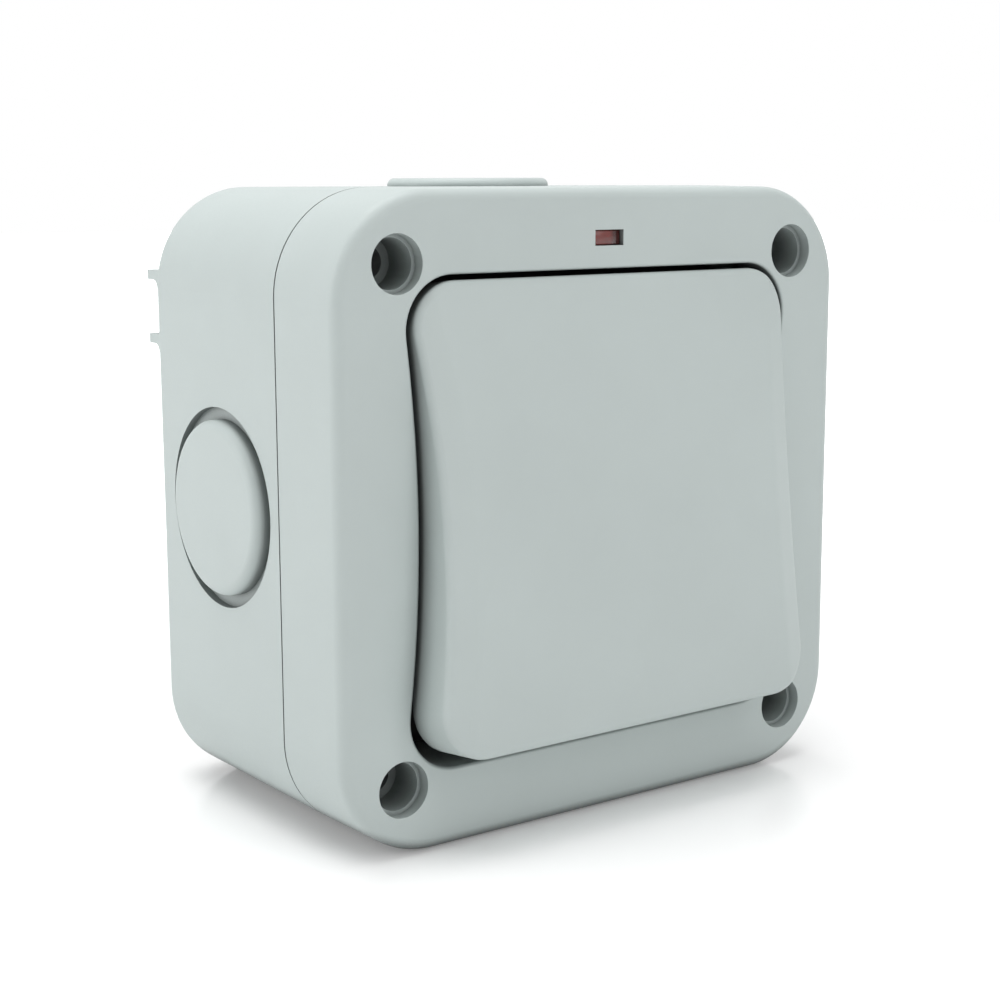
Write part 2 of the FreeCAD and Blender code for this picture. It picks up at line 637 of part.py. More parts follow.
def rim_edges(shape):
    """Edges where the paddle's front meets its upright walls."""
    walls = []
    for face in shape.Faces:
        u0, u1, v0, v1 = face.ParameterRange
        if abs(face.normalAt((u0 + u1) / 2, (v0 + v1) / 2).y) < 0.05:
            walls.append(face)
    edges = []
    for edge in shape.Edges:
        middle = (edge.FirstParameter + edge.LastParameter) / 2
        point = edge.valueAt(middle)
        if point.y < FRONT and abs(edge.tangentAt(middle).y) < 0.7:
            if any(wall.distToShape(Part.Vertex(point))[0] < 1e-4 for wall in walls):
                edges.append(edge)
    return edges


def paddle_body():
    """Solid paddle with crowned face, side bands and softened edges."""
    body = rocker_prism(0, ROCKER_EAR_DEPTH).common(crowned(ROCKER_CROWN, ROCKER_EAR_DEPTH))
    body = side_band(side_band(body, -1), 1)
    rounded = round_along_depth(rocker_prism(0, ROCKER_EAR_DEPTH), rocker_corner_r(0))
    body = body.common(rounded)
    rim = rim_edges(body)
    known = [e.CenterOfMass for e in rim]
    folds = [e for e in front_face(body).Edges
             if min((e.CenterOfMass - point).Length for point in known) > ROCKER_BEVEL_DROP]
    body = body.makeFillet(ROCKER_FOLD_R, folds)
    return body.makeFillet(ROCKER_EDGE_R, rim_edges(body))


def rocker():
    """Hollow waisted paddle with trunnions and two pushers, resting with its top pressed in."""
    body = paddle_body()
    skirt = waisted(PAST, ROCKER_SKIRT_DEPTH, ROCKER_EAR_DEPTH + PAST)
    ears = block(-BOX_SIZE, BOX_SIZE, ROCKER_SKIRT_DEPTH, ROCKER_EAR_DEPTH + PAST,
                 -ROCKER_EAR_HALF, ROCKER_EAR_HALF)
    hollow = paddle(ROCKER_WALL, ROCKER_CROWN - ROCKER_FACE_WALL, ROCKER_EAR_DEPTH + PAST)
    shell = without(body, hollow, skirt.cut(ears))
    tip = PIVOT_DEPTH + PUSHER_REACH - PUSHER_THICKNESS / 2
    stock = paddle(ROCKER_WALL / 2, ROCKER_CROWN - ROCKER_FACE_WALL / 2, tip)
    added = []
    for side in (-1, 1):
        z = side * PUSHER_OFFSET
        post = block(-PUSHER_WIDTH / 2, PUSHER_WIDTH / 2, -ROCKER_CROWN, tip,
                     z - PUSHER_THICKNESS / 2, z + PUSHER_THICKNESS / 2)
        added.append(post.common(stock))
        added.append(rod_x(PUSHER_THICKNESS / 2, tip, z, -PUSHER_WIDTH / 2, PUSHER_WIDTH / 2))
        rib_x = side * RIB_SPACING / 2
        rib = block(rib_x - RIB_THICKNESS / 2, rib_x + RIB_THICKNESS / 2, -ROCKER_CROWN, 0,
                    -ROCKER_LENGTH / 2, ROCKER_LENGTH / 2)
        added.append(rib.common(stock))
        near, far = sorted((side * (ROCKER_WAIST / 2 - ROCKER_WALL / 2), side * TRUNNION_END))
        added.append(rod_x(TRUNNION_R, PIVOT_DEPTH, 0, near, far))
    return joined(shell, *added).rotate(at(0, PIVOT_DEPTH, 0), AXIS_X, -ROCKER_TILT)


# Weather seal and carrier

def membrane():
    """Rubber diaphragm clamped behind the collar, with a boot whose floor lies along the pushers."""
    sheet = waisted(COLLAR_WALL, MEMBRANE_DEPTH, MEMBRANE_DEPTH + MEMBRANE_T)
    inner = block(-BOOT_WIDTH / 2, BOOT_WIDTH / 2, BOOT_FRONT_DEPTH - PAST, BOOT_BACK_DEPTH + PAST,
                  -BOOT_HEIGHT / 2, BOOT_HEIGHT / 2)
    wall = block(-BOOT_WIDTH / 2 - MEMBRANE_T, BOOT_WIDTH / 2 + MEMBRANE_T, BOOT_FRONT_DEPTH, BOOT_BACK_DEPTH,
                 -BOOT_HEIGHT / 2 - MEMBRANE_T, BOOT_HEIGHT / 2 + MEMBRANE_T)
    floor_start = PIVOT_DEPTH + PUSHER_REACH + BOOT_CLEARANCE
    floor = block(-BOOT_WIDTH / 2 - MEMBRANE_T / 2, BOOT_WIDTH / 2 + MEMBRANE_T / 2,
                  floor_start, floor_start + MEMBRANE_T, -BOOT_HEIGHT, BOOT_HEIGHT)
    floor = floor.rotate(at(0, PIVOT_DEPTH, 0), AXIS_X, -ROCKER_TILT).common(wall)
    passing = []
    start, end = MEMBRANE_DEPTH - PAST, MEMBRANE_DEPTH + MEMBRANE_T + PAST
    kept = waisted(-MEMBRANE_GAP, start - PAST, end + PAST)
    for sx, sz in CORNERS:
        for radius, x, z in ((SCREW_BOSS_R, SCREW_AT, SCREW_AT), (POST_R, POST_X, POST_Z)):
            passing.append(rod_y(radius + MEMBRANE_GAP, sx * x, sz * z, start, end).cut(kept))
    return joined(without(joined(sheet, wall), inner, *passing), floor)


def carrier_plate():
    """Plate that clamps the membrane on the collar, notched round the corner bosses."""
    back = PLATE_DEPTH + PLATE_T
    plate = slab(PLATE_WIDTH, PLATE_HEIGHT, PLATE_CORNER_R, PLATE_DEPTH, back)
    gap = MEMBRANE_T + WINDOW_GAP
    cuts = [block(-BOOT_WIDTH / 2 - gap, BOOT_WIDTH / 2 + gap, PLATE_DEPTH - PAST, back + PAST,
                  -BOOT_HEIGHT / 2 - gap, BOOT_HEIGHT / 2 + gap)]
    notch_r = SCREW_BOSS_R + PLATE_GAP
    for sx, sz in CORNERS:
        x, z = sx * SCREW_AT, sz * SCREW_AT
        cuts.append(rod_y(notch_r, x, z, PLATE_DEPTH - PAST, back + PAST))
        for reach_x, reach_z in ((notch_r, 0), (0, notch_r)):
            x0, x1 = sorted((sx * (SCREW_AT - reach_x), sx * BOX_SIZE))
            z0, z1 = sorted((sz * (SCREW_AT - reach_z), sz * BOX_SIZE))
            cuts.append(block(x0, x1, PLATE_DEPTH - PAST, back + PAST, z0, z1))
        cuts.append(rod_y(SMALL_SCREW_R + THREAD_CLEARANCE, sx * POST_X, sz * POST_Z,
                          PLATE_DEPTH - PAST, back + PAST))
    for side in (-1, 1):
        cuts.append(rod_y(SMALL_SCREW_R + THREAD_CLEARANCE, side * ear_screw_x(), 0,
                          PLATE_DEPTH - PAST, back + PAST))
    return without(plate, *cuts)


def small_screw(x, z, seat, length):
    """Pan-head screw driven from the back, with its head behind the seat."""
    head = rod_y(SMALL_HEAD_R, x, z, seat, seat + SMALL_HEAD_HEIGHT)
    shank = rod_y(SMALL_SCREW_R, x, z, seat - length, seat)
    slot = block(x - SMALL_HEAD_R, x + SMALL_HEAD_R, seat + SMALL_HEAD_HEIGHT - SLOT_DEPTH,
                 seat + SMALL_HEAD_HEIGHT + PAST, z - SLOT_WIDTH / 2, z + SLOT_WIDTH / 2)
    return without(joined(head, shank), slot)


def carrier_screws():
    """Four screws that hold the carrier plate on the cover's posts."""
    return Part.makeCompound([small_screw(sx * POST_X, sz * POST_Z, PLATE_DEPTH + PLATE_T, SMALL_SCREW_LENGTH)
                              for sx, sz in CORNERS])


# Switch

def ear_screw_x():
    """Distance of the housing's ear screws from the middle."""
    return HOUSING_SIZE / 2 + EAR_LENGTH / 2


def block_box(clearance, d0, d1):
    """Upper terminal block's room, grown by a clearance."""
    half = BLOCK_SIZE / 2 + clearance
    return block(-half, half, d0, d1, BLOCK_START - clearance, BLOCK_START + BLOCK_SIZE + clearance)


def strip_box(clearance, d0, d1):
    """Upper terminal strip's room, from the contact to its block."""
    half = STRIP_WIDTH / 2 + clearance
    return block(-half, half, d0, d1, CONTACT_OFFSET - STRIP_WIDTH / 2 - clearance, BLOCK_START + PAST)


def turned(shape, quarter):
    """Shape turned about the depth axis by quarter turns."""
    return shape.copy().rotate(at(0, 0, 0), AXIS_Y, 90 * quarter)


def switch_housing():
    """Moulded switch body, open in front, with rear pockets for the terminals and two ears."""
    body = slab(HOUSING_SIZE, HOUSING_SIZE, HOUSING_CORNER_R, HOUSING_FRONT, HOUSING_REAR)
    half = HOUSING_SIZE / 2
    ear_end = half + EAR_LENGTH
    ears = block(-ear_end, ear_end, HOUSING_FRONT, HOUSING_FRONT + EAR_THICKNESS,
                 -EAR_WIDTH / 2, EAR_WIDTH / 2)
    chamber = block(-CHAMBER_WIDTH / 2, CHAMBER_WIDTH / 2, HOUSING_FRONT - PAST, HOUSING_REAR - HOUSING_BACK,
                    -CHAMBER_HEIGHT / 2, CHAMBER_HEIGHT / 2)
    stakes = [rod_y(STAKE_R, side * STAKE_OFFSET, side * STAKE_OFFSET, HOUSING_REAR - PAST,
                    HOUSING_REAR + INSULATOR_T) for side in (-1, 1)]
    block_front = HOUSING_REAR - BLOCK_LENGTH - BLOCK_CLEARANCE
    room = block_box(BLOCK_CLEARANCE, block_front, HOUSING_REAR + PAST)
    slot = strip_box(STRIP_CLEARANCE, STRIP_DEPTH - STRIP_CLEARANCE, HOUSING_REAR + PAST)
    wire = rod_z(WIRE_HOLE_R, 0, WIRE_HOLE_DEPTH, BLOCK_START, half + PAST)
    cuts = [chamber, rod_x(PIN_R, DOLLY_DEPTH, 0, -PIN_LENGTH / 2, half + PAST)]
    for quarter in (0, 1, 2):
        cuts += [turned(tool, quarter) for tool in (room, slot, wire)]
    for side in (-1, 1):
        cuts.append(rod_y(SMALL_SCREW_R + SHANK_CLEARANCE, side * ear_screw_x(), 0, HOUSING_FRONT - PAST,
                          HOUSING_FRONT + EAR_THICKNESS + PAST))
    return without(joined(body, ears, *stakes), *cuts)


def housing_screws():
    """Two screws through the housing's ears into the carrier plate."""
    seat = HOUSING_FRONT + EAR_THICKNESS
    return Part.makeCompound([small_screw(side * ear_screw_x(), 0, seat, EAR_THICKNESS + PLATE_T)
                              for side in (-1, 1)])


def rear_insulator():
    """Insulating sheet over the housing's back, with holes for the terminal screws."""
    sheet = slab(HOUSING_SIZE, HOUSING_SIZE, HOUSING_CORNER_R, HOUSING_REAR, HOUSING_REAR + INSULATOR_T)
    screw_z = BLOCK_START + BLOCK_SIZE / 2
    hole = rod_y(TERMINAL_HEAD_R + TERMINAL_HEAD_GAP, 0, screw_z, HOUSING_REAR - PAST,
                 HOUSING_REAR + INSULATOR_T + PAST)
    cuts = [turned(hole, quarter) for quarter in (0, 1, 2)]
    for side in (-1, 1):
        cuts.append(rod_y(STAKE_R + STAKE_CLEARANCE, side * STAKE_OFFSET, side * STAKE_OFFSET,
                          HOUSING_REAR - PAST, HOUSING_REAR + INSULATOR_T + PAST))
    return without(sheet, *cuts)


def rest_dolly(shape):
    """Dolly piece turned from level to its rest angle."""
    return shape.rotate(at(0, DOLLY_DEPTH, 0), AXIS_X, -ROCKER_TILT)


def dolly():
    """Inner rocker: front bar, hub and spring barrel."""
    front = DOLLY_DEPTH - DOLLY_FRONT
    half_x = DOLLY_WIDTH / 2
    bar = block(-half_x, half_x, front, front + DOLLY_BAR_T, -DOLLY_HEIGHT / 2, DOLLY_HEIGHT / 2)
    bar = bar.makeFillet(DOLLY_EDGE_R, edges_at_depth(bar, front))
    web = block(-DOLLY_WEB_WIDTH / 2, DOLLY_WEB_WIDTH / 2, front + DOLLY_BAR_T / 2, DOLLY_DEPTH,
                -DOLLY_WEB_HEIGHT / 2, DOLLY_WEB_HEIGHT / 2)
    hub = rod_x(DOLLY_HUB_R, DOLLY_DEPTH, 0, -half_x, half_x)
    barrel = rod_y(BARREL_R, 0, 0, DOLLY_DEPTH, DOLLY_DEPTH + BARREL_LENGTH)
    pin_hole = rod_x(PIN_R + PIN_CLEARANCE, DOLLY_DEPTH, 0, -half_x - PAST, half_x + PAST)
    bore = rod_y(SPRING_BORE_R, 0, 0, DOLLY_DEPTH + bore_start(), DOLLY_DEPTH + BARREL_LENGTH + PAST)
    return rest_dolly(without(joined(bar, web, hub, barrel), pin_hole, bore))


def bore_start():
    """Floor of the spring bore, clear of the pin's hole."""
    return PIN_R + PIN_CLEARANCE + SPRING_BORE_START


def dolly_pin():
    """Steel pin that the dolly turns on, held in the housing's sides."""
    return rod_x(PIN_R, DOLLY_DEPTH, 0, -PIN_LENGTH / 2, PIN_LENGTH / 2)


def plunger():
    """Round-nosed plunger with a stem inside its spring."""
    radius = SPRING_BORE_R - PLUNGER_CLEARANCE
    shoulder = DOLLY_DEPTH + PLUNGER_SHOULDER
    nose = DOLLY_DEPTH + PLUNGER_REACH - radius
    head = rod_y(radius, 0, 0, shoulder, nose)
    stem = rod_y(PLUNGER_STEM_R, 0, 0, shoulder - stem_length(), nose)
    dome = Part.makeSphere(radius, at(0, nose, 0), AXIS_Y, 0, 90, 360)
    return rest_dolly(joined(head, stem, dome))


def stem_length():
    """Stem that stops short of the bore's floor."""
    return min(PLUNGER_STEM_LENGTH, PLUNGER_SHOULDER - bore_start() - SPRING_END_GAP)


def plunger_spring():
    """Coil spring of tilted half turns between the bore's floor and the plunger's shoulder."""
    start = DOLLY_DEPTH + bore_start() + SPRING_END_GAP + SPRING_WIRE_R
    end = DOLLY_DEPTH + PLUNGER_SHOULDER - SPRING_END_GAP - SPRING_WIRE_R
    rise = (end - start) / (2 * SPRING_TURNS)
    halves = []
    for index in range(2 * SPRING_TURNS):
        side = 1 if index % 2 == 0 else -1
        depth = start + index * rise
        wire = Part.Wire(Part.makeCircle(SPRING_WIRE_R, at(side * SPRING_COIL_R, depth, 0), AXIS_Z))
        tilted = Vector(rise, 2 * side * SPRING_COIL_R, 0)
        halves.append(Part.Face(wire).revolve(at(0, depth + rise / 2, 0), tilted, 180 * side))
    coil = joined(*halves)
    return rest_dolly(coil)


def rest_blade(shape):
    """Contact piece turned from level to its rest angle."""
    return shape.rotate(at(0, BLADE_AXIS_DEPTH, 0), AXIS_X, BLADE_TILT)


def blade_back():
    """Depth of the level blade's back face."""
    return BLADE_AXIS_DEPTH - RIDGE_R - BLADE_CLEARANCE


def contact_blade():
    """Rocking brass strip, resting with its lower contact made."""
    back = blade_back()
    strip = block(-BLADE_WIDTH / 2, BLADE_WIDTH / 2, back - BLADE_T, back,
                  -BLADE_LENGTH / 2, BLADE_LENGTH / 2)
    return rest_blade(strip)


def blade_contacts():
    """Two contact tips on the blade's back."""
    back = blade_back()
    tips = [rest_blade(rod_y(CONTACT_R, 0, side * CONTACT_OFFSET, back, back + CONTACT_HEIGHT))
            for side in (-1, 1)]
    return Part.makeCompound(tips)


def terminal_block():
    """Brass block of the upper terminal with its wire hole and screw hole."""
    body = block_box(0, HOUSING_REAR - BLOCK_LENGTH, HOUSING_REAR)
    top = BLOCK_START + BLOCK_SIZE
    wire = rod_z(WIRE_HOLE_R, 0, WIRE_HOLE_DEPTH, BLOCK_START + PAST, top + PAST)
    screw = rod_y(TERMINAL_SCREW_R + THREAD_CLEARANCE, 0, BLOCK_START + BLOCK_SIZE / 2, WIRE_HOLE_DEPTH,
                  HOUSING_REAR + PAST)
    return without(body, wire, screw)


def contact_terminal():
    """Upper terminal: block, strip and fixed contact button."""
    strip = strip_box(0, STRIP_DEPTH, STRIP_DEPTH + STRIP_T)
    button = rod_y(BUTTON_R, 0, CONTACT_OFFSET, BUTTON_DEPTH, STRIP_DEPTH + STRIP_T / 2)
    screw = rod_y(TERMINAL_SCREW_R + THREAD_CLEARANCE, 0, BLOCK_START + BLOCK_SIZE / 2, WIRE_HOLE_DEPTH,
                  HOUSING_REAR + PAST)
    return without(joined(terminal_block(), strip, button), screw)


def upper_terminal():
    """Terminal of the upper contact."""
    return contact_terminal()


def lower_terminal():
    """Terminal of the lower contact."""
    return turned(contact_terminal(), 2)


def common_terminal():
    """Terminal with the ridge that the blade rocks on."""
    half = BLADE_WIDTH / 2
    strip = block(-half, BLOCK_START + PAST, STRIP_DEPTH, STRIP_DEPTH + STRIP_T,
                  -STRIP_WIDTH / 2, STRIP_WIDTH / 2)
    web = block(-half, half, BLADE_AXIS_DEPTH, STRIP_DEPTH + STRIP_T / 2, -RIDGE_R, RIDGE_R)
    ridge = rod_x(RIDGE_R, BLADE_AXIS_DEPTH, 0, -half, half)
    screw = rod_y(TERMINAL_SCREW_R + THREAD_CLEARANCE, 0, BLOCK_START + BLOCK_SIZE / 2, WIRE_HOLE_DEPTH,
                  HOUSING_REAR + PAST)
    return without(joined(turned(terminal_block(), 1), strip, web, ridge), turned(screw, 1))


def terminal_screw(seat):
    """Slotted cheese-head screw of the upper terminal, with its head behind the seat."""
    z = BLOCK_START + BLOCK_SIZE / 2
    head = rod_y(TERMINAL_HEAD_R, 0, z, seat, seat + TERMINAL_HEAD_HEIGHT)
    shank = rod_y(TERMINAL_SCREW_R, 0, z, seat - TERMINAL_SCREW_LENGTH, seat)
    slot = block(-TERMINAL_HEAD_R, TERMINAL_HEAD_R, seat + TERMINAL_HEAD_HEIGHT - SLOT_DEPTH,
                 seat + TERMINAL_HEAD_HEIGHT + PAST, z - SLOT_WIDTH / 2, z + SLOT_WIDTH / 2)
    return without(joined(head, shank), slot)


def terminal_screws():
    """Three terminal screws, driven from the back."""
    return Part.makeCompound([turned(terminal_screw(HOUSING_REAR), quarter) for quarter in (0, 1, 2)])


# Earth terminal

def earth_place(shape):
    """Upper terminal's piece moved to the earth terminal, facing the front."""
    moved = shape.copy()
    moved.translate(Vector(0, 0, -(BLOCK_START + BLOCK_SIZE / 2)))
    moved.rotate(at(0, HOUSING_REAR, 0), AXIS_Z, 180)
    seat = FLOOR_DEPTH - EARTH_POST_HEIGHT - BLOCK_LENGTH
    moved.translate(Vector(EARTH_X, seat - HOUSING_REAR, EARTH_Z))
    return moved


def earth_terminal():
    """Brass block on a post of the base's floor."""
    return earth_place(terminal_block())


def earth_screw():
    """Screw of the earth terminal."""
    return earth_place(terminal_screw(HOUSING_REAR))


# Neon indicator

def neon_lens():
    """Red lens in the front panel's window, with a flange behind it."""
    half_x = WINDOW_WIDTH / 2 - LENS_CLEARANCE
    half_z = WINDOW_HEIGHT / 2 - LENS_CLEARANCE
    window = block(-half_x, half_x, LENS_RECESS, FRONT_PANEL + LENS_FLANGE_T,
                   WINDOW_Z - half_z, WINDOW_Z + half_z)
    flange = block(-half_x - LENS_FLANGE, half_x + LENS_FLANGE, FRONT_PANEL, FRONT_PANEL + LENS_FLANGE_T,
                   WINDOW_Z - half_z - LENS_FLANGE, WINDOW_Z + half_z + LENS_FLANGE)
    return joined(window, flange)


def neon_lamp():
    """Glass neon lamp with rounded ends, lying in its cradles."""
    tube = rod_x(LAMP_R, LAMP_DEPTH, LAMP_Z, -LAMP_LENGTH / 2, LAMP_LENGTH / 2)
    return tube.makeFillet(LAMP_R / 2, [e for e in tube.Edges if e.BoundBox.XLength < 1e-4])


def lamp_resistor():
    """Series resistor beside the lamp."""
    start = RESISTOR_X - RESISTOR_LENGTH / 2
    tube = rod_x(RESISTOR_R, LAMP_DEPTH, LAMP_Z, start, start + RESISTOR_LENGTH)
    return tube.makeFillet(RESISTOR_R / 3, [e for e in tube.Edges if e.BoundBox.XLength < 1e-4])


def bent_tube(points, radius):
    """Round wire along straight runs joined by tangent arcs."""
    edges = []
    start = points[0]
    for corner, after in zip(points[1:-1], points[2:]):
        before = (start - corner).normalize()
        onward = (after - corner).normalize()
        half_turn = (math.pi - before.getAngle(onward)) / 2
        back_off = LEAD_BEND_R * math.tan(half_turn)
        first = corner + before * back_off
        last = corner + onward * back_off
        middle = corner + (before + onward).normalize() * (LEAD_BEND_R / math.cos(half_turn) - LEAD_BEND_R)
        edges += [Part.makeLine(start, first), Part.Arc(first, middle, last).toShape()]
        start = last
    edges.append(Part.makeLine(start, points[-1]))
    section = Part.Wire(Part.makeCircle(radius, points[0], points[1] - points[0]))
    return Part.Wire(edges).makePipeShell([section], True, True)


def lamp_leads():
    """Link from lamp to resistor, and two leads that run back over the plate to the housing."""
    lamp_end = LAMP_LENGTH / 2 + LEAD_END_GAP
    resistor_start = RESISTOR_X - RESISTOR_LENGTH / 2 - LEAD_END_GAP
    resistor_end = RESISTOR_X + RESISTOR_LENGTH / 2 + LEAD_END_GAP
    wires = [rod_x(LEAD_R, LAMP_DEPTH, LAMP_Z, lamp_end, resistor_start)]
    top = HOUSING_SIZE / 2 + LEAD_END_GAP
    for start, turn in ((-lamp_end, -lamp_end - LEAD_ROOM), (resistor_end, resistor_end + LEAD_ROOM)):
        route = [at(start, LAMP_DEPTH, LAMP_Z), at(turn, LAMP_DEPTH, LAMP_Z),
                 at(turn, LEAD_TURN_DEPTH, LAMP_Z), at(turn, LEAD_TURN_DEPTH, top)]
        wires.append(bent_tube(route, LEAD_R))
    return Part.makeCompound(wires)


PARTS = {
    "base_box": base_box(),
    "fixing_caps": fixing_caps(),
    "cover": cover(),
    "cover_gasket": cover_gasket(),
    "cover_screws": cover_screws(),
    "screw_seals": screw_seals(),
    "threaded_inserts": threaded_inserts(),
    "entry_plug_left": side_plug(180),
    "entry_plug_right": side_plug(0),
    "entry_plug_top": top_plug(),
    "rocker": rocker(),
    "membrane": membrane(),
    "carrier_plate": carrier_plate(),
    "carrier_screws": carrier_screws(),
    "switch_housing": switch_housing(),
    "housing_screws": housing_screws(),
    "rear_insulator": rear_insulator(),
    "dolly": dolly(),
    "dolly_pin": dolly_pin(),
    "plunger": plunger(),
    "plunger_spring": plunger_spring(),
    "contact_blade": contact_blade(),
    "blade_contacts": blade_contacts(),
    "common_terminal": common_terminal(),
    "upper_terminal": upper_terminal(),
    "lower_terminal": lower_terminal(),
    "terminal_screws": terminal_screws(),
    "earth_terminal": earth_terminal(),
    "earth_screw": earth_screw(),
    "neon_lens": neon_lens(),
    "neon_lamp": neon_lamp(),
    "lamp_resistor": lamp_resistor(),
    "lamp_leads": lamp_leads(),
}

os.makedirs("parts", exist_ok=True)
for name, shape in PARTS.items():
    shape.exportStep("parts/%s.step" % name)
    print("%-18s solids %d volume %9.1f valid %s" % (name, len(shape.Solids), shape.Volume, shape.isValid()))
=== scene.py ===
import json
import logging
import math
from dataclasses import dataclass
from enum import Enum
from typing import Callable

import bpy
from mathutils import Matrix, Vector


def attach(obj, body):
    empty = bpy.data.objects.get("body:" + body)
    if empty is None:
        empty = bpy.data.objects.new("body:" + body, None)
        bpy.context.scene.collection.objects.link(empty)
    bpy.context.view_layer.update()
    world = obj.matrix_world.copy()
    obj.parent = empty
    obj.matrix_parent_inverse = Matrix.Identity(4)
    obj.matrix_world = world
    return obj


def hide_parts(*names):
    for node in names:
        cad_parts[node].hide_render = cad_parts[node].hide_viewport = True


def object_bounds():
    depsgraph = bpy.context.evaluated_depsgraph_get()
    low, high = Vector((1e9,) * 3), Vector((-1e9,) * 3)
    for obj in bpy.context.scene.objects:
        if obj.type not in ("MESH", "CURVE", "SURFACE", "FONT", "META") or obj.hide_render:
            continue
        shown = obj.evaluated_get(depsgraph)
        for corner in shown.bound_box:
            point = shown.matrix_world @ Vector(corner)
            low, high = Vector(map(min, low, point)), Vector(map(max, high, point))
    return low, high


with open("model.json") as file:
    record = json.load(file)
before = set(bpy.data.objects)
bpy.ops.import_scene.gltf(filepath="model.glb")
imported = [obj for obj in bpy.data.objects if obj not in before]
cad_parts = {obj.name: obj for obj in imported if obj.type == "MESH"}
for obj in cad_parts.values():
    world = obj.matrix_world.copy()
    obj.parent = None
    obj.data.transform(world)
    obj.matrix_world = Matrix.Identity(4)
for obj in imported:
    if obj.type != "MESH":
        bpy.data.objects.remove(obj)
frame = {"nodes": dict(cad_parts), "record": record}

CAD_BOX = [list(corner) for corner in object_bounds()]
LOG = logging.getLogger("weatherproof_switch")
MM = 0.001
SMOOTH_ANGLE = math.radians(35.0)
FACES_ALONG = 0.9
# Painted shade in nooks: ambient occlusion samples, and the occlusion values that give full and no painted shade.
PAINTED_SHADE_SAMPLES = 12
PAINTED_SHADE_DEEP = 0.15
PAINTED_SHADE_OPEN = 0.75
SCREW_AT = 36.2 * MM
CORNERS = ((-SCREW_AT, -SCREW_AT), (-SCREW_AT, SCREW_AT), (SCREW_AT, -SCREW_AT), (SCREW_AT, SCREW_AT))

Colour = tuple[float, float, float]
Point = tuple[float, float, float]
FaceTest = Callable[[bpy.types.MeshPolygon], bool]


class Slot(Enum):
    """Finishes of the switch, named as in the record."""

    GREY_PLASTIC = "grey_plastic"
    BLACK_RUBBER = "black_rubber"
    STEEL = "steel"
    BRASS = "brass"
    SILVER = "silver"
    WHITE_PLASTIC = "white_plastic"
    DARK_PLASTIC = "dark_plastic"
    RED_LENS = "red_lens"
    CLEAR_GLASS = "clear_glass"
    WIRE_SLEEVE = "wire_sleeve"


class Body(Enum):
    """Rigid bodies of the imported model."""

    ENCLOSURE = "enclosure"
    ROCKER = "rocker"
    DOLLY = "dolly"
    BLADE = "blade"


class Drive(Enum):
    """Recess that a screwdriver turns."""

    CROSS = "cross"
    SLOT = "slot"


class Facing(Enum):
    """Side that a screw's head faces, as the sign of its Y direction."""

    FRONT = -1
    WALL = 1


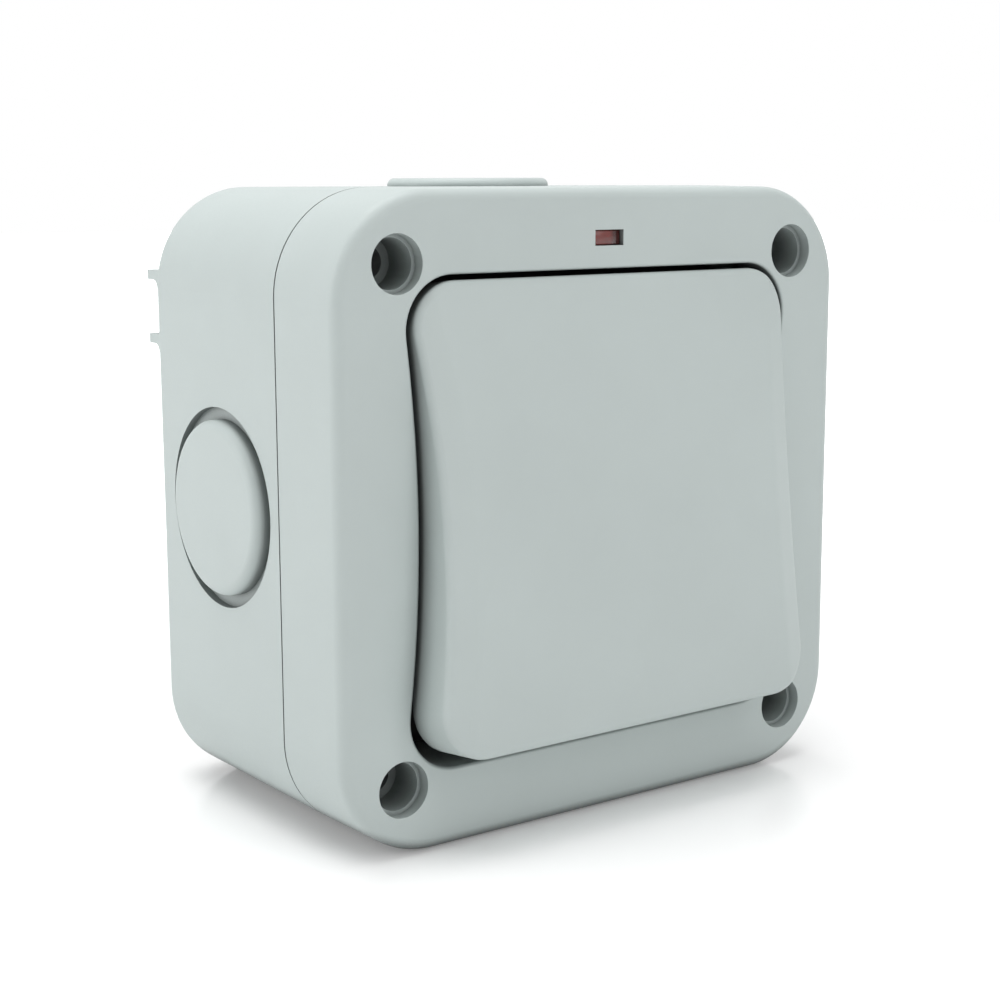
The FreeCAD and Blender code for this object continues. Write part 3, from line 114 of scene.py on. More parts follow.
class NodeSheet:
    """Node tree of one material, with short calls to add and join nodes."""

    def __init__(self, name: str) -> None:
        """Start an empty material.

        Args:
            name: Material name.
        """
        self.material = bpy.data.materials.new(name)
        self.material.use_nodes = True
        self.tree = self.material.node_tree
        self.tree.nodes.clear()
        self.output = self.tree.nodes.new("ShaderNodeOutputMaterial")
        self.coords = self.tree.nodes.new("ShaderNodeTexCoord")

    def add(self, kind: str, **values: object) -> bpy.types.Node:
        """Add a node and set its inputs.

        Args:
            kind: Node type.
            values: Input values by name, with spaces written as underscores.

        Returns:
            The new node.
        """
        node = self.tree.nodes.new(kind)
        for name, value in values.items():
            node.inputs[name.replace("_", " ")].default_value = value
        return node

    def link(self, source: bpy.types.NodeSocket, target: bpy.types.NodeSocket) -> None:
        """Join two sockets."""
        self.tree.links.new(source, target)

    def calc(self, operation: str, first: bpy.types.NodeSocket,
             second: bpy.types.NodeSocket | float) -> bpy.types.NodeSocket:
        """Work out a number from two others.

        Args:
            operation: Math node operation.
            first: Linked value.
            second: Linked value or a number.

        Returns:
            The result.
        """
        node = self.tree.nodes.new("ShaderNodeMath")
        node.operation = operation
        self.link(first, node.inputs[0])
        if isinstance(second, float):
            node.inputs[1].default_value = second
        else:
            self.link(second, node.inputs[1])
        return node.outputs[0]

    def noise(self, scale: float, detail: float, stretch: Point = (1.0, 1.0, 1.0)) -> bpy.types.NodeSocket:
        """Add noise on the object's own coordinates.

        Args:
            scale: Features per metre.
            detail: Octaves.
            stretch: Scale along each axis.

        Returns:
            The noise value.
        """
        mapping = self.add("ShaderNodeMapping", Scale=stretch)
        self.link(self.coords.outputs["Object"], mapping.inputs["Vector"])
        texture = self.add("ShaderNodeTexNoise", Scale=scale, Detail=detail, Roughness=0.55)
        self.link(mapping.outputs["Vector"], texture.inputs["Vector"])
        return texture.outputs["Fac"]

    def along(self, axis: str, start: float, end: float) -> bpy.types.NodeSocket:
        """Ramp from 0 to 1 along one axis of the object.

        Args:
            axis: X, Y or Z.
            start: Coordinate where the ramp begins, in metres.
            end: Coordinate where it ends.

        Returns:
            The smooth ramp.
        """
        split = self.tree.nodes.new("ShaderNodeSeparateXYZ")
        self.link(self.coords.outputs["Object"], split.inputs["Vector"])
        ramp = self.add("ShaderNodeMapRange", From_Min=start, From_Max=end)
        ramp.interpolation_type = "SMOOTHSTEP"
        self.link(split.outputs[axis], ramp.inputs["Value"])
        return ramp.outputs["Result"]

    def painted_shade_mask(self, reach: float) -> bpy.types.NodeSocket:
        """Find where to paint shade: ambient occlusion tells open faces from deep nooks by the walls around them.

        Args:
            reach: Distance to the walls that count, in metres.

        Returns:
            A value from 0 in a deep nook, under full painted shade, to 1 on an open face, without painted shade.
        """
        nook = self.add("ShaderNodeAmbientOcclusion", Distance=reach)
        nook.samples = PAINTED_SHADE_SAMPLES
        ramp = self.add("ShaderNodeMapRange", From_Min=PAINTED_SHADE_DEEP, From_Max=PAINTED_SHADE_OPEN)
        self.link(nook.outputs["AO"], ramp.inputs["Value"])
        return ramp.outputs["Result"]

    def spread(self, value: bpy.types.NodeSocket, low: float, high: float) -> bpy.types.NodeSocket:
        """Spread a noise value between two numbers.

        Args:
            value: Noise value, mostly between 0.3 and 0.7.
            low: Result at the noise's low end.
            high: Result at its high end.

        Returns:
            The spread value.
        """
        ranged = self.add("ShaderNodeMapRange", From_Min=0.3, From_Max=0.7, To_Min=low, To_Max=high)
        self.link(value, ranged.inputs["Value"])
        return ranged.outputs["Result"]

    def mix(self, factor: bpy.types.NodeSocket, first: Colour | bpy.types.NodeSocket,
            second: Colour | bpy.types.NodeSocket) -> bpy.types.NodeSocket:
        """Mix two colours.

        Args:
            factor: Share of the second colour, from 0 to 1.
            first: Colour at 0, written or linked.
            second: Colour at 1, written or linked.

        Returns:
            The mixed colour.
        """
        node = self.tree.nodes.new("ShaderNodeMix")
        node.data_type = "RGBA"
        sockets = [socket for socket in node.inputs if socket.type == "RGBA"]
        for socket, colour in zip(sockets, (first, second)):
            if isinstance(colour, bpy.types.NodeSocket):
                self.link(colour, socket)
            else:
                socket.default_value = (*colour, 1.0)
        self.link(factor, node.inputs["Factor"])
        return next(socket for socket in node.outputs if socket.type == "RGBA")

    def blend(self, value: bpy.types.NodeSocket, first: Colour, second: Colour) -> bpy.types.NodeSocket:
        """Blend two colours by a noise value."""
        return self.mix(self.spread(value, 0.0, 1.0), first, second)

    def bump(self, value: bpy.types.NodeSocket, depth: float, strength: float) -> bpy.types.NodeSocket:
        """Turn a value into surface relief.

        Args:
            value: Height between 0 and 1.
            depth: Relief in metres.
            strength: How much of it shows.

        Returns:
            The bumped normal.
        """
        relief = self.add("ShaderNodeBump", Strength=strength, Distance=depth)
        self.link(value, relief.inputs["Height"])
        return relief.outputs["Normal"]

    def finish(self, shader: bpy.types.Node) -> bpy.types.Material:
        """Join the shader to the output and return the material."""
        self.link(shader.outputs[0], self.output.inputs["Surface"])
        return self.material


def tinted(colour: Colour, factor: float) -> Colour:
    """Return a colour made lighter or darker by a factor."""
    return tuple(min(1.0, channel * factor) for channel in colour)


@dataclass(frozen=True)
class MouldedPlastic:
    """Injection-moulded plastic with a fine spark-eroded grain, and painted shade that darkens its colour in deep
    nooks.
    """

    slot: Slot
    colour: Colour
    roughness: float = 0.5
    mottle: float = 0.02
    grain_per_metre: float = 2600.0
    grain_depth: float = 0.00003
    grain_strength: float = 0.35
    specular: float = 0.45
    # Reach of the occlusion and colour factor of the painted shade in nooks.
    painted_shade_reach: float = 0.007
    painted_shade_tint: float = 0.22

    def build(self) -> bpy.types.Material:
        """Return the plastic's material."""
        sheet = NodeSheet(self.slot.value)
        shader = sheet.add("ShaderNodeBsdfPrincipled", Specular_IOR_Level=self.specular, IOR=1.5)
        clouds = sheet.noise(42.0, 3.0)
        colour = sheet.blend(clouds, tinted(self.colour, 1.0 - self.mottle), tinted(self.colour, 1.0 + self.mottle))
        # Painted shade: the colour is darkened towards a dark tint in nooks that ambient occlusion finds.
        sheet.link(sheet.mix(sheet.painted_shade_mask(self.painted_shade_reach), tinted(self.colour, self.painted_shade_tint), colour),
                   shader.inputs["Base Color"])
        grain = sheet.noise(self.grain_per_metre, 3.0)
        rough = sheet.spread(grain, self.roughness - 0.05, self.roughness + 0.06)
        sheet.link(rough, shader.inputs["Roughness"])
        sheet.link(sheet.bump(grain, self.grain_depth, self.grain_strength), shader.inputs["Normal"])
        return sheet.finish(shader)


@dataclass(frozen=True)
class SoftRubber:
    """Matt rubber with a dusty bloom."""

    slot: Slot
    colour: Colour
    bloom: Colour

    def build(self) -> bpy.types.Material:
        """Return the rubber's material."""
        sheet = NodeSheet(self.slot.value)
        shader = sheet.add("ShaderNodeBsdfPrincipled", Specular_IOR_Level=0.3)
        dust = sheet.noise(240.0, 5.0)
        sheet.link(sheet.blend(dust, self.colour, self.bloom), shader.inputs["Base Color"])
        sheet.link(sheet.spread(dust, 0.72, 0.9), shader.inputs["Roughness"])
        sheet.link(sheet.bump(sheet.noise(1800.0, 2.0), 0.00004, 0.4), shader.inputs["Normal"])
        return sheet.finish(shader)


@dataclass(frozen=True)
class WorkedMetal:
    """Turned, stamped or plated metal with fine tool lines."""

    slot: Slot
    colour: Colour
    stain: Colour
    roughness: float = 0.3
    lines: Point = (1.0, 14.0, 1.0)

    def build(self) -> bpy.types.Material:
        """Return the metal's material."""
        sheet = NodeSheet(self.slot.value)
        shader = sheet.add("ShaderNodeBsdfPrincipled", Metallic=1.0)
        patches = sheet.noise(160.0, 4.0)
        sheet.link(sheet.blend(patches, self.stain, self.colour), shader.inputs["Base Color"])
        lines = sheet.noise(700.0, 2.0, self.lines)
        sheet.link(sheet.spread(lines, self.roughness - 0.08, self.roughness + 0.12), shader.inputs["Roughness"])
        sheet.link(sheet.bump(lines, 0.00002, 0.3), shader.inputs["Normal"])
        return sheet.finish(shader)


@dataclass(frozen=True)
class TintedLens:
    """Transparent coloured plastic, with painted shade towards +X where the lamp's foot stands behind it."""

    slot: Slot
    colour: Colour
    deep: Colour
    # Colour and X range of the painted shade.
    painted_shade_colour: Colour
    painted_shade_start: float
    painted_shade_end: float
    roughness: float = 0.12
    transmission: float = 0.35

    def build(self) -> bpy.types.Material:
        """Return the lens's material."""
        sheet = NodeSheet(self.slot.value)
        shader = sheet.add("ShaderNodeBsdfPrincipled", IOR=1.49, Transmission_Weight=self.transmission)
        swirl = sheet.noise(420.0, 3.0)
        body = sheet.blend(swirl, self.deep, self.colour)
        # Painted shade: the colour darkens towards +X.
        shade = sheet.along("X", self.painted_shade_start, self.painted_shade_end)
        sheet.link(sheet.mix(shade, body, self.painted_shade_colour), shader.inputs["Base Color"])
        sheet.link(sheet.spread(swirl, self.roughness - 0.04, self.roughness + 0.08), shader.inputs["Roughness"])
        return sheet.finish(shader)


FINISHES = (
    MouldedPlastic(Slot.GREY_PLASTIC, (0.490, 0.548, 0.538)),
    MouldedPlastic(Slot.WHITE_PLASTIC, (0.74, 0.74, 0.70), roughness=0.42),
    MouldedPlastic(Slot.DARK_PLASTIC, (0.016, 0.016, 0.018), roughness=0.5),
    MouldedPlastic(Slot.WIRE_SLEEVE, (0.55, 0.50, 0.42), roughness=0.4, grain_depth=0.00001),
    SoftRubber(Slot.BLACK_RUBBER, (0.012, 0.012, 0.012), (0.022, 0.022, 0.021)),
    WorkedMetal(Slot.STEEL, (0.60, 0.60, 0.62), (0.50, 0.50, 0.50)),
    WorkedMetal(Slot.BRASS, (0.76, 0.56, 0.24), (0.62, 0.44, 0.20)),
    WorkedMetal(Slot.SILVER, (0.88, 0.87, 0.84), (0.80, 0.79, 0.76), roughness=0.2),
    # Both lenses get painted shade towards +X: the red lens from 0.5 to 1.6 mm, the clear glass from 3 to 6 mm.
    TintedLens(Slot.RED_LENS, (0.30, 0.055, 0.045), (0.22, 0.040, 0.034), (0.085, 0.022, 0.020),
               0.5 * MM, 1.6 * MM),
    TintedLens(Slot.CLEAR_GLASS, (0.92, 0.90, 0.88), (0.86, 0.84, 0.82), (0.80, 0.78, 0.76),
               3.0 * MM, 6.0 * MM, roughness=0.05, transmission=0.95),
)


class FinishBook:
    """All finishes, made once and laid on the pieces by slot."""

    def __init__(self) -> None:
        """Make every finish."""
        self.materials = {finish.slot: finish.build() for finish in FINISHES}
        self.slot_of = {row["node"]: Slot(row["material_slot"]) for row in frame["record"]["subparts"]}

    def lay(self, piece: bpy.types.Object, slot: Slot) -> None:
        """Give a piece one finish.

        Args:
            piece: Mesh object.
            slot: Finish to use.
        """
        piece.data.materials.clear()
        piece.data.materials.append(self.materials[slot])

    def dress_nodes(self) -> None:
        """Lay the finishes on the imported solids."""
        for name, node in frame["nodes"].items():
            self.lay(node, self.slot_of[name])
            LOG.info("dressed %s with %s", name, self.slot_of[name].value)

    def fit(self, piece: bpy.types.Object, node: str, body: Body) -> None:
        """Dress a modelled piece as a node, put it on its body and let it stand for the node.

        Args:
            piece: Finished mesh object.
            node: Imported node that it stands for.
            body: Body that it rides on.
        """
        slot = self.slot_of[node]
        self.lay(piece, slot)
        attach(piece, body.value)
        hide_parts(node)
        LOG.info("modelled %s for %s, %d faces", piece.name, node, len(piece.data.polygons))


class Bench:
    """Modelling steps shared by the pieces."""

    @staticmethod
    def clear() -> None:
        """Leave nothing selected."""
        bpy.ops.object.select_all(action="DESELECT")

    @staticmethod
    def pick(*pieces: bpy.types.Object) -> None:
        """Select pieces and make the first one active."""
        Bench.clear()
        for piece in pieces:
            piece.select_set(True)
        bpy.context.view_layer.objects.active = pieces[0]

    @staticmethod
    def start(name: str) -> bpy.types.Object:
        """Name the primitive just added and settle its place into its mesh.

        Args:
            name: Piece name.

        Returns:
            The new object.
        """
        piece = bpy.context.object
        piece.name = name
        bpy.ops.object.transform_apply(location=True, rotation=True, scale=True)
        return piece

    @staticmethod
    def rod(name: str, radius: float, y0: float, y1: float, sides: int) -> bpy.types.Object:
        """Add a cylinder along Y as the start of a turned piece.

        Args:
            name: Piece name.
            radius: Radius in metres.
            y0: Front end.
            y1: Back end.
            sides: Sides of the cylinder.

        Returns:
            The cylinder.
        """
        Bench.clear()
        bpy.ops.mesh.primitive_cylinder_add(vertices=sides, radius=radius, depth=y1 - y0,
                                            location=(0.0, (y0 + y1) / 2, 0.0), rotation=(math.pi / 2, 0.0, 0.0))
        return Bench.start(name)

    @staticmethod
    def brick(name: str, low: Point, high: Point) -> bpy.types.Object:
        """Add a block between two corners as the start of a piece.

        Args:
            name: Piece name.
            low: Lowest corner.
            high: Highest corner.

        Returns:
            The block.
        """
        Bench.clear()
        middle = [(a + b) / 2 for a, b in zip(low, high)]
        bpy.ops.mesh.primitive_cube_add(size=1.0, location=middle, scale=[b - a for a, b in zip(low, high)])
        return Bench.start(name)

    @staticmethod
    def choose(piece: bpy.types.Object, test: FaceTest) -> None:
        """Enter edit mode with the faces that pass a test selected.

        Args:
            piece: Object to edit.
            test: Says whether a face is wanted.
        """
        Bench.pick(piece)
        bpy.ops.object.mode_set(mode="EDIT")
        bpy.ops.mesh.select_mode(type="FACE")
        bpy.ops.mesh.select_all(action="DESELECT")
        bpy.ops.object.mode_set(mode="OBJECT")
        for face in piece.data.polygons:
            face.select = test(face)
        bpy.ops.object.mode_set(mode="EDIT")

    @staticmethod
    def done() -> None:
        """Leave edit mode."""
        bpy.ops.object.mode_set(mode="OBJECT")

    @staticmethod
    def apply(piece: bpy.types.Object, kind: str, **values: object) -> None:
        """Add a modifier, set it and apply it.

        Args:
            piece: Object to change.
            kind: Modifier type.
            values: Modifier settings.
        """
        Bench.pick(piece)
        modifier = piece.modifiers.new(kind.lower(), kind)
        for name, value in values.items():
            setattr(modifier, name, value)
        bpy.ops.object.modifier_apply(modifier=modifier.name)

    @staticmethod
    def unite(piece: bpy.types.Object, tool: bpy.types.Object, operation: str) -> None:
        """Join a tool to a piece or cut it away, and delete the tool.

        Args:
            piece: Object that stays.
            tool: Object that is used up.
            operation: UNION or DIFFERENCE.
        """
        Bench.apply(piece, "BOOLEAN", object=tool, operation=operation, solver="EXACT")
        bpy.data.objects.remove(tool)

    @staticmethod
    def wind(profile: bpy.types.Object, pitch: float, turns: int, steps: int) -> None:
        """Wind a closed profile round the Y axis and close its two ends.

        Args:
            profile: Outline beside the axis.
            pitch: Rise of one turn.
            turns: Whole turns.
            steps: Steps of one turn.
        """
        Bench.apply(profile, "SCREW", axis="Y", angle=math.tau, screw_offset=pitch, iterations=turns,
                    steps=steps, render_steps=steps)
        bpy.ops.object.mode_set(mode="EDIT")
        bpy.ops.mesh.select_all(action="SELECT")
        bpy.ops.mesh.remove_doubles(threshold=0.001 * MM)
        bpy.ops.mesh.fill_holes(sides=0)
        bpy.ops.mesh.normals_make_consistent(inside=False)
        Bench.done()

    @staticmethod
    def smooth(piece: bpy.types.Object) -> None:
        """Smooth all but the sharp edges."""
        Bench.pick(piece)
        bpy.ops.object.shade_smooth_by_angle(angle=SMOOTH_ANGLE)

    @staticmethod
    def settle(piece: bpy.types.Object, turn: Matrix) -> None:
        """Move a piece and put its new place into its mesh.

        Args:
            piece: Object to move.
            turn: Its new place.
        """
        Bench.pick(piece)
        piece.matrix_world = turn
        bpy.ops.object.transform_apply(location=True, rotation=True, scale=True)

    @staticmethod
    def copy(piece: bpy.types.Object, name: str) -> bpy.types.Object:
        """Copy a piece with a mesh of its own.

        Args:
            piece: Object to copy.
            name: Copy's name.

        Returns:
            The copy.
        """
        Bench.pick(piece)
        bpy.ops.object.duplicate(linked=False)
        twin = bpy.context.object
        twin.name = name
        return twin


@dataclass
class ThreadedScrews:
    """Identical machine screws with rolled threads, modelled once and copied to their places."""

    node: str
    places: tuple[tuple[float, float], ...]
    seat_y: float
    facing: Facing
    head_r: float
    head_height: float
    thread_r: float
    length: float
    drive: Drive
    pitch: float = 0.6 * MM
    thread_height: float = 0.2 * MM
    recess_depth: float = 0.9 * MM
    recess_width: float = 0.7 * MM
    tip_bevel: float = 0.35 * MM
    head_sides: int = 48
    thread_steps: int = 24

    def build(self, finishes: FinishBook) -> None:
        """Model one screw, copy it to each place and dress the copies.

        Args:
            finishes: Finishes of the switch.
        """
        master = self.turn_head()
        Bench.unite(master, self.roll_thread(), "UNION")
        for blade in self.recess_blades():
            Bench.unite(master, blade, "DIFFERENCE")
        Bench.smooth(master)
        flip = Matrix.Rotation(math.pi, 4, "X") if self.facing is Facing.WALL else Matrix.Identity(4)
        for number, (x, z) in enumerate(self.places, 1):
            screw = Bench.copy(master, f"{self.node}_{number}")
            Bench.settle(screw, Matrix.Translation((x, self.seat_y, z)) @ flip)
            finishes.fit(screw, self.node, Body.ENCLOSURE)
        bpy.data.objects.remove(master)

    def turn_head(self) -> bpy.types.Object:
        """Turn the head, with its seat at Y = 0 and a rounded front rim.

        Returns:
            The head.
        """
        head = Bench.rod(f"{self.node}_head", self.head_r, -self.head_height, 0.0, self.head_sides)
        Bench.choose(head, lambda face: face.normal.y < -FACES_ALONG)
        bpy.ops.mesh.bevel(offset=0.35 * self.head_height, segments=5, profile=0.55, affect="EDGES")
        Bench.done()
        return head

    def roll_thread(self) -> bpy.types.Object:
        """Roll the shank: a bevelled core with a wound ridge.

        Returns:
            The threaded shank.
        """
        core_r = self.thread_r - self.thread_height
        core = Bench.rod(f"{self.node}_core", core_r, -0.3 * self.head_height, self.length, self.head_sides)
        Bench.choose(core, lambda face: face.normal.y > FACES_ALONG)
        bpy.ops.mesh.bevel(offset=self.tip_bevel, segments=1, affect="EDGES")
        Bench.done()
        Bench.clear()
        base = self.pitch * 0.42
        bpy.ops.mesh.primitive_circle_add(vertices=3, radius=base, fill_type="NOTHING")
        ridge = Bench.start(f"{self.node}_ridge")
        peak = max(ridge.data.vertices, key=lambda vertex: vertex.co.length_squared * (vertex.co.y > 0)).co.y
        squeeze = Matrix.Diagonal((self.thread_height * 2.0 / (1.5 * base), 1.0, 1.0, 1.0))
        turn = Matrix.Rotation(-math.pi / 2 if peak > 0 else math.pi / 2, 4, "Z")
        start = Vector((self.thread_r - self.thread_height * 4.0 / 3.0, self.pitch, 0.0))
        Bench.settle(ridge, Matrix.Translation(start) @ squeeze @ turn)
        turns = int((self.length - self.tip_bevel - 1.8 * self.pitch) / self.pitch)
        Bench.wind(ridge, self.pitch, turns, self.thread_steps)
        Bench.unite(core, ridge, "UNION")
        return core

    def recess_blades(self) -> list[bpy.types.Object]:
        """Shape the blades that cut the driver's recess.

        Returns:
            One blade for a slot, two for a cross.
        """
        reach = self.head_r * (1.2 if self.drive is Drive.SLOT else 0.62)
        half = self.recess_width / 2
        front = -self.head_height - 0.3 * MM
        deep = -self.head_height + self.recess_depth
        blades = []
        for wide, tall in ((reach, half), (half, reach))[:1 if self.drive is Drive.SLOT else 2]:
            blade = Bench.brick(f"{self.node}_blade", (-wide, front, -tall), (wide, deep, tall))
            Bench.choose(blade, lambda face: face.normal.y > FACES_ALONG)
            if self.drive is Drive.CROSS:
                bpy.ops.transform.resize(value=(0.6, 1.0, 0.6), center_override=(0.0, deep, 0.0))
            Bench.done()
            blades.append(blade)
        return blades


@dataclass
class KnurledInserts:
    """Brass inserts in the base's pillars, with two knurled bands."""

    node: str = "threaded_inserts"
    front_y: float = -39.1 * MM
    length: float = 8.0 * MM
    radius: float = 2.6 * MM
    bore_r: float = 1.55 * MM
    knurl: float = 0.14 * MM
    groove_half: float = 0.7 * MM
    lip: float = 0.8 * MM
    teeth: int = 36

    def build(self, finishes: FinishBook) -> None:
        """Model one insert, copy it to the four pillars and dress the copies.

        Args:
            finishes: Finishes of the switch.
        """
        sleeve = Bench.rod(self.node + "_sleeve", self.radius - self.knurl, 0.0, self.length, self.teeth)
        middle = self.length / 2
        for y in (self.lip, middle - self.groove_half, middle + self.groove_half, self.length - self.lip):
            Bench.choose(sleeve, lambda face: True)
            bpy.ops.mesh.bisect(plane_co=(0.0, y, 0.0), plane_no=(0.0, 1.0, 0.0))
            Bench.done()
        self.cut_bore(sleeve)
        inner = self.radius - 2.0 * self.knurl
        Bench.choose(sleeve, lambda face: abs(face.normal.y) < 0.1 and self.banded(face.center.y)
                     and math.hypot(face.center.x, face.center.z) > inner)
        bpy.ops.mesh.inset(thickness=0.09 * MM, depth=0.9 * self.knurl, use_individual=True)
        Bench.done()
        Bench.smooth(sleeve)
        for number, (x, z) in enumerate(CORNERS, 1):
            insert = Bench.copy(sleeve, f"{self.node}_{number}")
            Bench.settle(insert, Matrix.Translation((x, self.front_y, z)))
            finishes.fit(insert, self.node, Body.ENCLOSURE)
        bpy.data.objects.remove(sleeve)

    def banded(self, y: float) -> bool:
        """Say whether a height lies on one of the two knurled bands."""
        return self.lip < y < self.length - self.lip and abs(y - self.length / 2) > self.groove_half

    def cut_bore(self, sleeve: bpy.types.Object) -> None:
        """Open the bore from end to end.

        Args:
            sleeve: Solid insert.
        """
        bore = Bench.rod(self.node + "_bore", self.bore_r, -self.lip, self.length + self.lip, self.teeth)
        Bench.unite(sleeve, bore, "DIFFERENCE")


@dataclass
class CoilSpring:
    """Plunger spring, wound from round wire."""

    node: str = "plunger_spring"
    pivot: Vector = Vector((0.0, -33.2 * MM, 0.0))
    tilt: float = math.radians(-6.7)
    start: float = 2.85 * MM
    end: float = 5.9 * MM
    coil_r: float = 1.9 * MM
    wire_r: float = 0.2 * MM
    turns: int = 4
    wire_sides: int = 12
    steps: int = 40

    def build(self, finishes: FinishBook) -> None:
        """Wind the spring and dress it.

        Args:
            finishes: Finishes of the switch.
        """
        Bench.clear()
        bpy.ops.mesh.primitive_circle_add(vertices=self.wire_sides, radius=self.wire_r, fill_type="NOTHING",
                                          location=(self.coil_r, self.start, 0.0))
        spring = Bench.start("wound_spring")
        Bench.wind(spring, (self.end - self.start) / self.turns, self.turns, self.steps)
        Bench.smooth(spring)
        Bench.settle(spring, Matrix.Translation(self.pivot) @ Matrix.Rotation(self.tilt, 4, "X"))
        finishes.fit(spring, self.node, Body.DOLLY)


@dataclass
class IndicatorLens:
    """Small moulded lens: a window block with a soft front rim, a flange and ribs on its back."""

    node: str = "neon_lens"
    half_width: float = 2.52 * MM
    half_height: float = 1.045 * MM
    middle_z: float = 38.95 * MM
    front_y: float = -54.5 * MM
    flange_y: float = -52.2 * MM
    back_y: float = -51.0 * MM
    flange: float = 1.0 * MM
    rim: float = 0.16 * MM
    ribs: int = 6
    rib_height: float = 0.25 * MM

    def build(self, finishes: FinishBook) -> None:
        """Model the lens and dress it.

        Args:
            finishes: Finishes of the switch.
        """
        low = (-self.half_width, self.front_y, self.middle_z - self.half_height)
        high = (self.half_width, self.flange_y, self.middle_z + self.half_height)
        lens = Bench.brick("indicator_lens", low, high)
        Bench.choose(lens, lambda face: face.normal.y > FACES_ALONG)
        bpy.ops.mesh.extrude_region_move()
        grow = (1.0 + self.flange / self.half_width, 1.0, 1.0 + self.flange / self.half_height)
        bpy.ops.transform.resize(value=grow, center_override=(0.0, self.flange_y, self.middle_z))
        bpy.ops.mesh.extrude_region_move(TRANSFORM_OT_translate={
            "value": (0.0, self.back_y - self.flange_y - self.rib_height, 0.0)})
        Bench.done()
        self.rib_back(lens)
        Bench.choose(lens, lambda face: face.normal.y < -FACES_ALONG and face.center.y < self.front_y + 0.1 * MM)
        bpy.ops.mesh.bevel(offset=self.rim, segments=3, affect="EDGES")
        Bench.done()
        Bench.smooth(lens)
        finishes.fit(lens, self.node, Body.ENCLOSURE)

    def rib_back(self, lens: bpy.types.Object) -> None:
        """Cut the back face into strips and raise each one as a ridge.

        Args:
            lens: Block with its flange.
        """
        wide = self.half_width + self.flange
        back = self.back_y - self.rib_height
        for number in range(1, self.ribs):
            x = -wide + 2.0 * wide * number / self.ribs
            Bench.choose(lens, lambda face: face.normal.y > FACES_ALONG and face.center.y > back - 0.05 * MM)
            bpy.ops.mesh.bisect(plane_co=(x, 0.0, 0.0), plane_no=(1.0, 0.0, 0.0))
            Bench.done()
        Bench.choose(lens, lambda face: face.normal.y > FACES_ALONG and face.center.y > back - 0.05 * MM)
        bpy.ops.mesh.inset(thickness=0.12 * MM, depth=self.rib_height, use_individual=True)
        Bench.done()


POST_X = 39.2 * MM
POST_Z = 20.0 * MM
EAR_X = 29.0 * MM
TERMINAL_AT = 19.1 * MM

FASTENERS = (
    ThreadedScrews("cover_screws", CORNERS,
                   -42.6 * MM, Facing.FRONT, 2.13 * MM, 2.0 * MM, 1.5 * MM, 15.0 * MM, Drive.CROSS),
    ThreadedScrews("carrier_screws", ((-POST_X, -POST_Z), (-POST_X, POST_Z), (POST_X, -POST_Z), (POST_X, POST_Z)),
                   -38.6 * MM, Facing.WALL, 2.5 * MM, 1.6 * MM, 1.25 * MM, 8.0 * MM, Drive.SLOT),
    ThreadedScrews("housing_screws", ((-EAR_X, 0.0), (EAR_X, 0.0)),
                   -35.6 * MM, Facing.WALL, 2.5 * MM, 1.6 * MM, 1.25 * MM, 5.0 * MM, Drive.SLOT),
    ThreadedScrews("terminal_screws", ((0.0, TERMINAL_AT), (TERMINAL_AT, 0.0), (0.0, -TERMINAL_AT)),
                   -13.2 * MM, Facing.WALL, 2.8 * MM, 2.0 * MM, 1.6 * MM, 6.0 * MM, Drive.SLOT),
    ThreadedScrews("earth_screw", ((20.0 * MM, -35.5 * MM),),
                   -20.0 * MM, Facing.FRONT, 2.8 * MM, 2.0 * MM, 1.6 * MM, 6.0 * MM, Drive.SLOT),
)


@dataclass(frozen=True)
class SoftLamp:
    """One square soft lamp."""

    name: str
    place: Point
    size: float
    watts: float


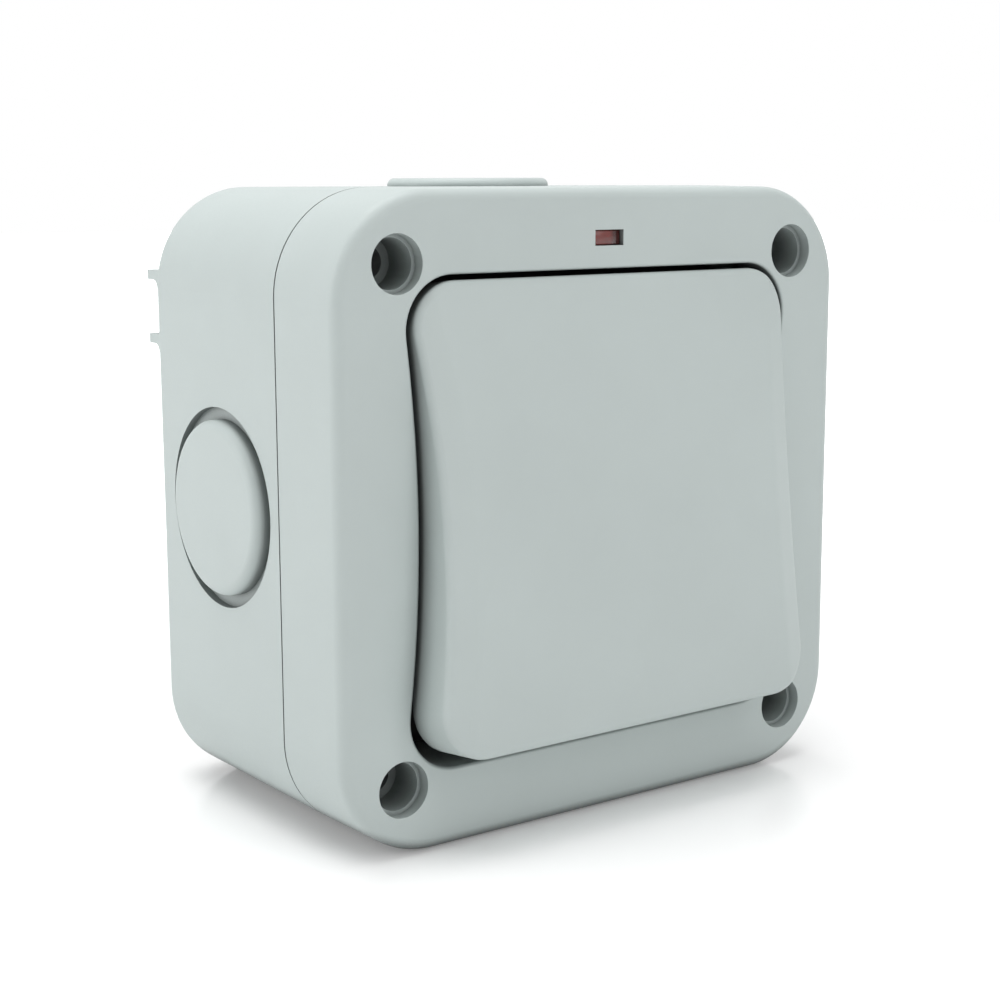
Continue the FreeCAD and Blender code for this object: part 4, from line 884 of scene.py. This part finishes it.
@dataclass
class Studio:
    """White sweep, soft lamps and the camera of the photograph."""

    camera_place: Vector = Vector((-0.1695, -0.2609, 0.0470))
    yaw: float = 0.6299
    pitch: float = 0.1716
    roll: float = -0.0034
    lens_mm: float = 66.31
    sensor_mm: float = 36.0
    target: Vector = Vector((0.0, -0.03, 0.0))
    floor_size: float = 6.0
    floor_white: float = 0.95
    near_glow: float = 0.14
    fade_start: float = 0.055
    fade_end: float = 0.24
    white: float = 1.0
    ambient: float = 0.16
    lamps: tuple[SoftLamp, ...] = (
        SoftLamp("overhead", (-0.05, 0.05, 0.90), 0.9, 8.2),
        SoftLamp("rear_left", (-0.90, 0.35, 0.35), 0.8, 4.9),
        SoftLamp("front", (0.20, -1.00, 0.50), 0.9, 4.7),
    )

    def build(self) -> None:
        """Build the floor, the world, the lamps and the camera."""
        self.lay_floor()
        self.light_world()
        for lamp in self.lamps:
            self.hang(lamp)
        self.place_camera()

    def lay_floor(self) -> None:
        """Lay a glossy white floor that keeps shadow and reflection and fades to white far off."""
        lowest = CAD_BOX[0][2]
        Bench.clear()
        bpy.ops.mesh.primitive_plane_add(size=self.floor_size, location=(0.0, 0.0, lowest))
        floor = bpy.context.object
        floor.name = "floor"
        sheet = NodeSheet("white_floor")
        grey = self.floor_white
        shader = sheet.add("ShaderNodeBsdfPrincipled", Base_Color=(grey, grey, grey, 1.0), Specular_IOR_Level=0.5)
        sheet.link(sheet.spread(sheet.noise(6.0, 2.0), 0.16, 0.22), shader.inputs["Roughness"])
        glow = sheet.add("ShaderNodeEmission", Color=(1.0, 1.0, 1.0, 1.0))
        rays = sheet.tree.nodes.new("ShaderNodeLightPath")
        seen = sheet.calc("MAXIMUM", rays.outputs["Is Camera Ray"], rays.outputs["Is Glossy Ray"])
        seen = sheet.calc("MAXIMUM", seen, rays.outputs["Is Transmission Ray"])
        reach = sheet.tree.nodes.new("ShaderNodeVectorMath")
        reach.operation = "LENGTH"
        sheet.link(sheet.coords.outputs["Object"], reach.inputs[0])
        fade = sheet.add("ShaderNodeMapRange", From_Min=self.fade_start, From_Max=self.fade_end,
                         To_Min=self.near_glow)
        fade.interpolation_type = "SMOOTHSTEP"
        sheet.link(reach.outputs["Value"], fade.inputs["Value"])
        sheet.link(sheet.calc("MULTIPLY", seen, fade.outputs["Result"]), glow.inputs["Strength"])
        both = sheet.tree.nodes.new("ShaderNodeAddShader")
        sheet.link(shader.outputs[0], both.inputs[0])
        sheet.link(glow.outputs[0], both.inputs[1])
        floor.data.materials.append(sheet.finish(both))
        LOG.info("floor at %.4f", lowest)

    def light_world(self) -> None:
        """Set a soft surround that the camera, reflections and glass see as white."""
        world = bpy.data.worlds.new("studio")
        bpy.context.scene.world = world
        world.use_nodes = True
        tree = world.node_tree
        tree.nodes.clear()
        output = tree.nodes.new("ShaderNodeOutputWorld")
        rays = tree.nodes.new("ShaderNodeLightPath")
        mix = tree.nodes.new("ShaderNodeMixShader")
        for strength, socket in ((self.ambient, mix.inputs[1]), (self.white, mix.inputs[2])):
            background = tree.nodes.new("ShaderNodeBackground")
            background.inputs["Color"].default_value = (1.0, 1.0, 1.0, 1.0)
            background.inputs["Strength"].default_value = strength
            tree.links.new(background.outputs[0], socket)
        seen = rays.outputs["Is Camera Ray"]
        for other in ("Is Glossy Ray", "Is Transmission Ray"):
            most = tree.nodes.new("ShaderNodeMath")
            most.operation = "MAXIMUM"
            tree.links.new(seen, most.inputs[0])
            tree.links.new(rays.outputs[other], most.inputs[1])
            seen = most.outputs[0]
        tree.links.new(seen, mix.inputs["Fac"])
        tree.links.new(mix.outputs[0], output.inputs["Surface"])

    def hang(self, lamp: SoftLamp) -> None:
        """Hang one lamp, turned to the object.

        Args:
            lamp: Lamp to hang.
        """
        data = bpy.data.lights.new(lamp.name, "AREA")
        data.shape = "SQUARE"
        data.size = lamp.size
        data.energy = lamp.watts
        hung = bpy.data.objects.new(lamp.name, data)
        hung.location = lamp.place
        hung.rotation_euler = (self.target - Vector(lamp.place)).to_track_quat("-Z", "Y").to_euler()
        bpy.context.scene.collection.objects.link(hung)

    def place_camera(self) -> None:
        """Place the camera as fitted to the photograph."""
        data = bpy.data.cameras.new("camera")
        data.sensor_width = self.sensor_mm
        data.lens = self.lens_mm
        data.clip_start = 0.01
        camera = bpy.data.objects.new("camera", data)
        level = math.cos(self.pitch)
        forward = Vector((math.sin(self.yaw) * level, math.cos(self.yaw) * level, -math.sin(self.pitch)))
        right = Vector((math.cos(self.yaw), -math.sin(self.yaw), 0.0))
        up = right.cross(forward)
        turned_right = right * math.cos(self.roll) + up * math.sin(self.roll)
        turned_up = up * math.cos(self.roll) - right * math.sin(self.roll)
        turn = Matrix((turned_right, turned_up, -forward)).transposed()
        camera.matrix_world = Matrix.Translation(self.camera_place) @ turn.to_4x4()
        bpy.context.scene.collection.objects.link(camera)
        bpy.context.scene.camera = camera


def main() -> None:
    """Dress the solids, model the detailed pieces and set up the studio."""
    logging.basicConfig(level=logging.INFO, format="%(name)s: %(message)s")
    bpy.context.scene.view_settings.view_transform = "Standard"
    finishes = FinishBook()
    finishes.dress_nodes()
    for fastener in FASTENERS:
        fastener.build(finishes)
    KnurledInserts().build(finishes)
    CoilSpring().build(finishes)
    IndicatorLens().build(finishes)
    Studio().build()


if __name__ == "__main__":
    main()
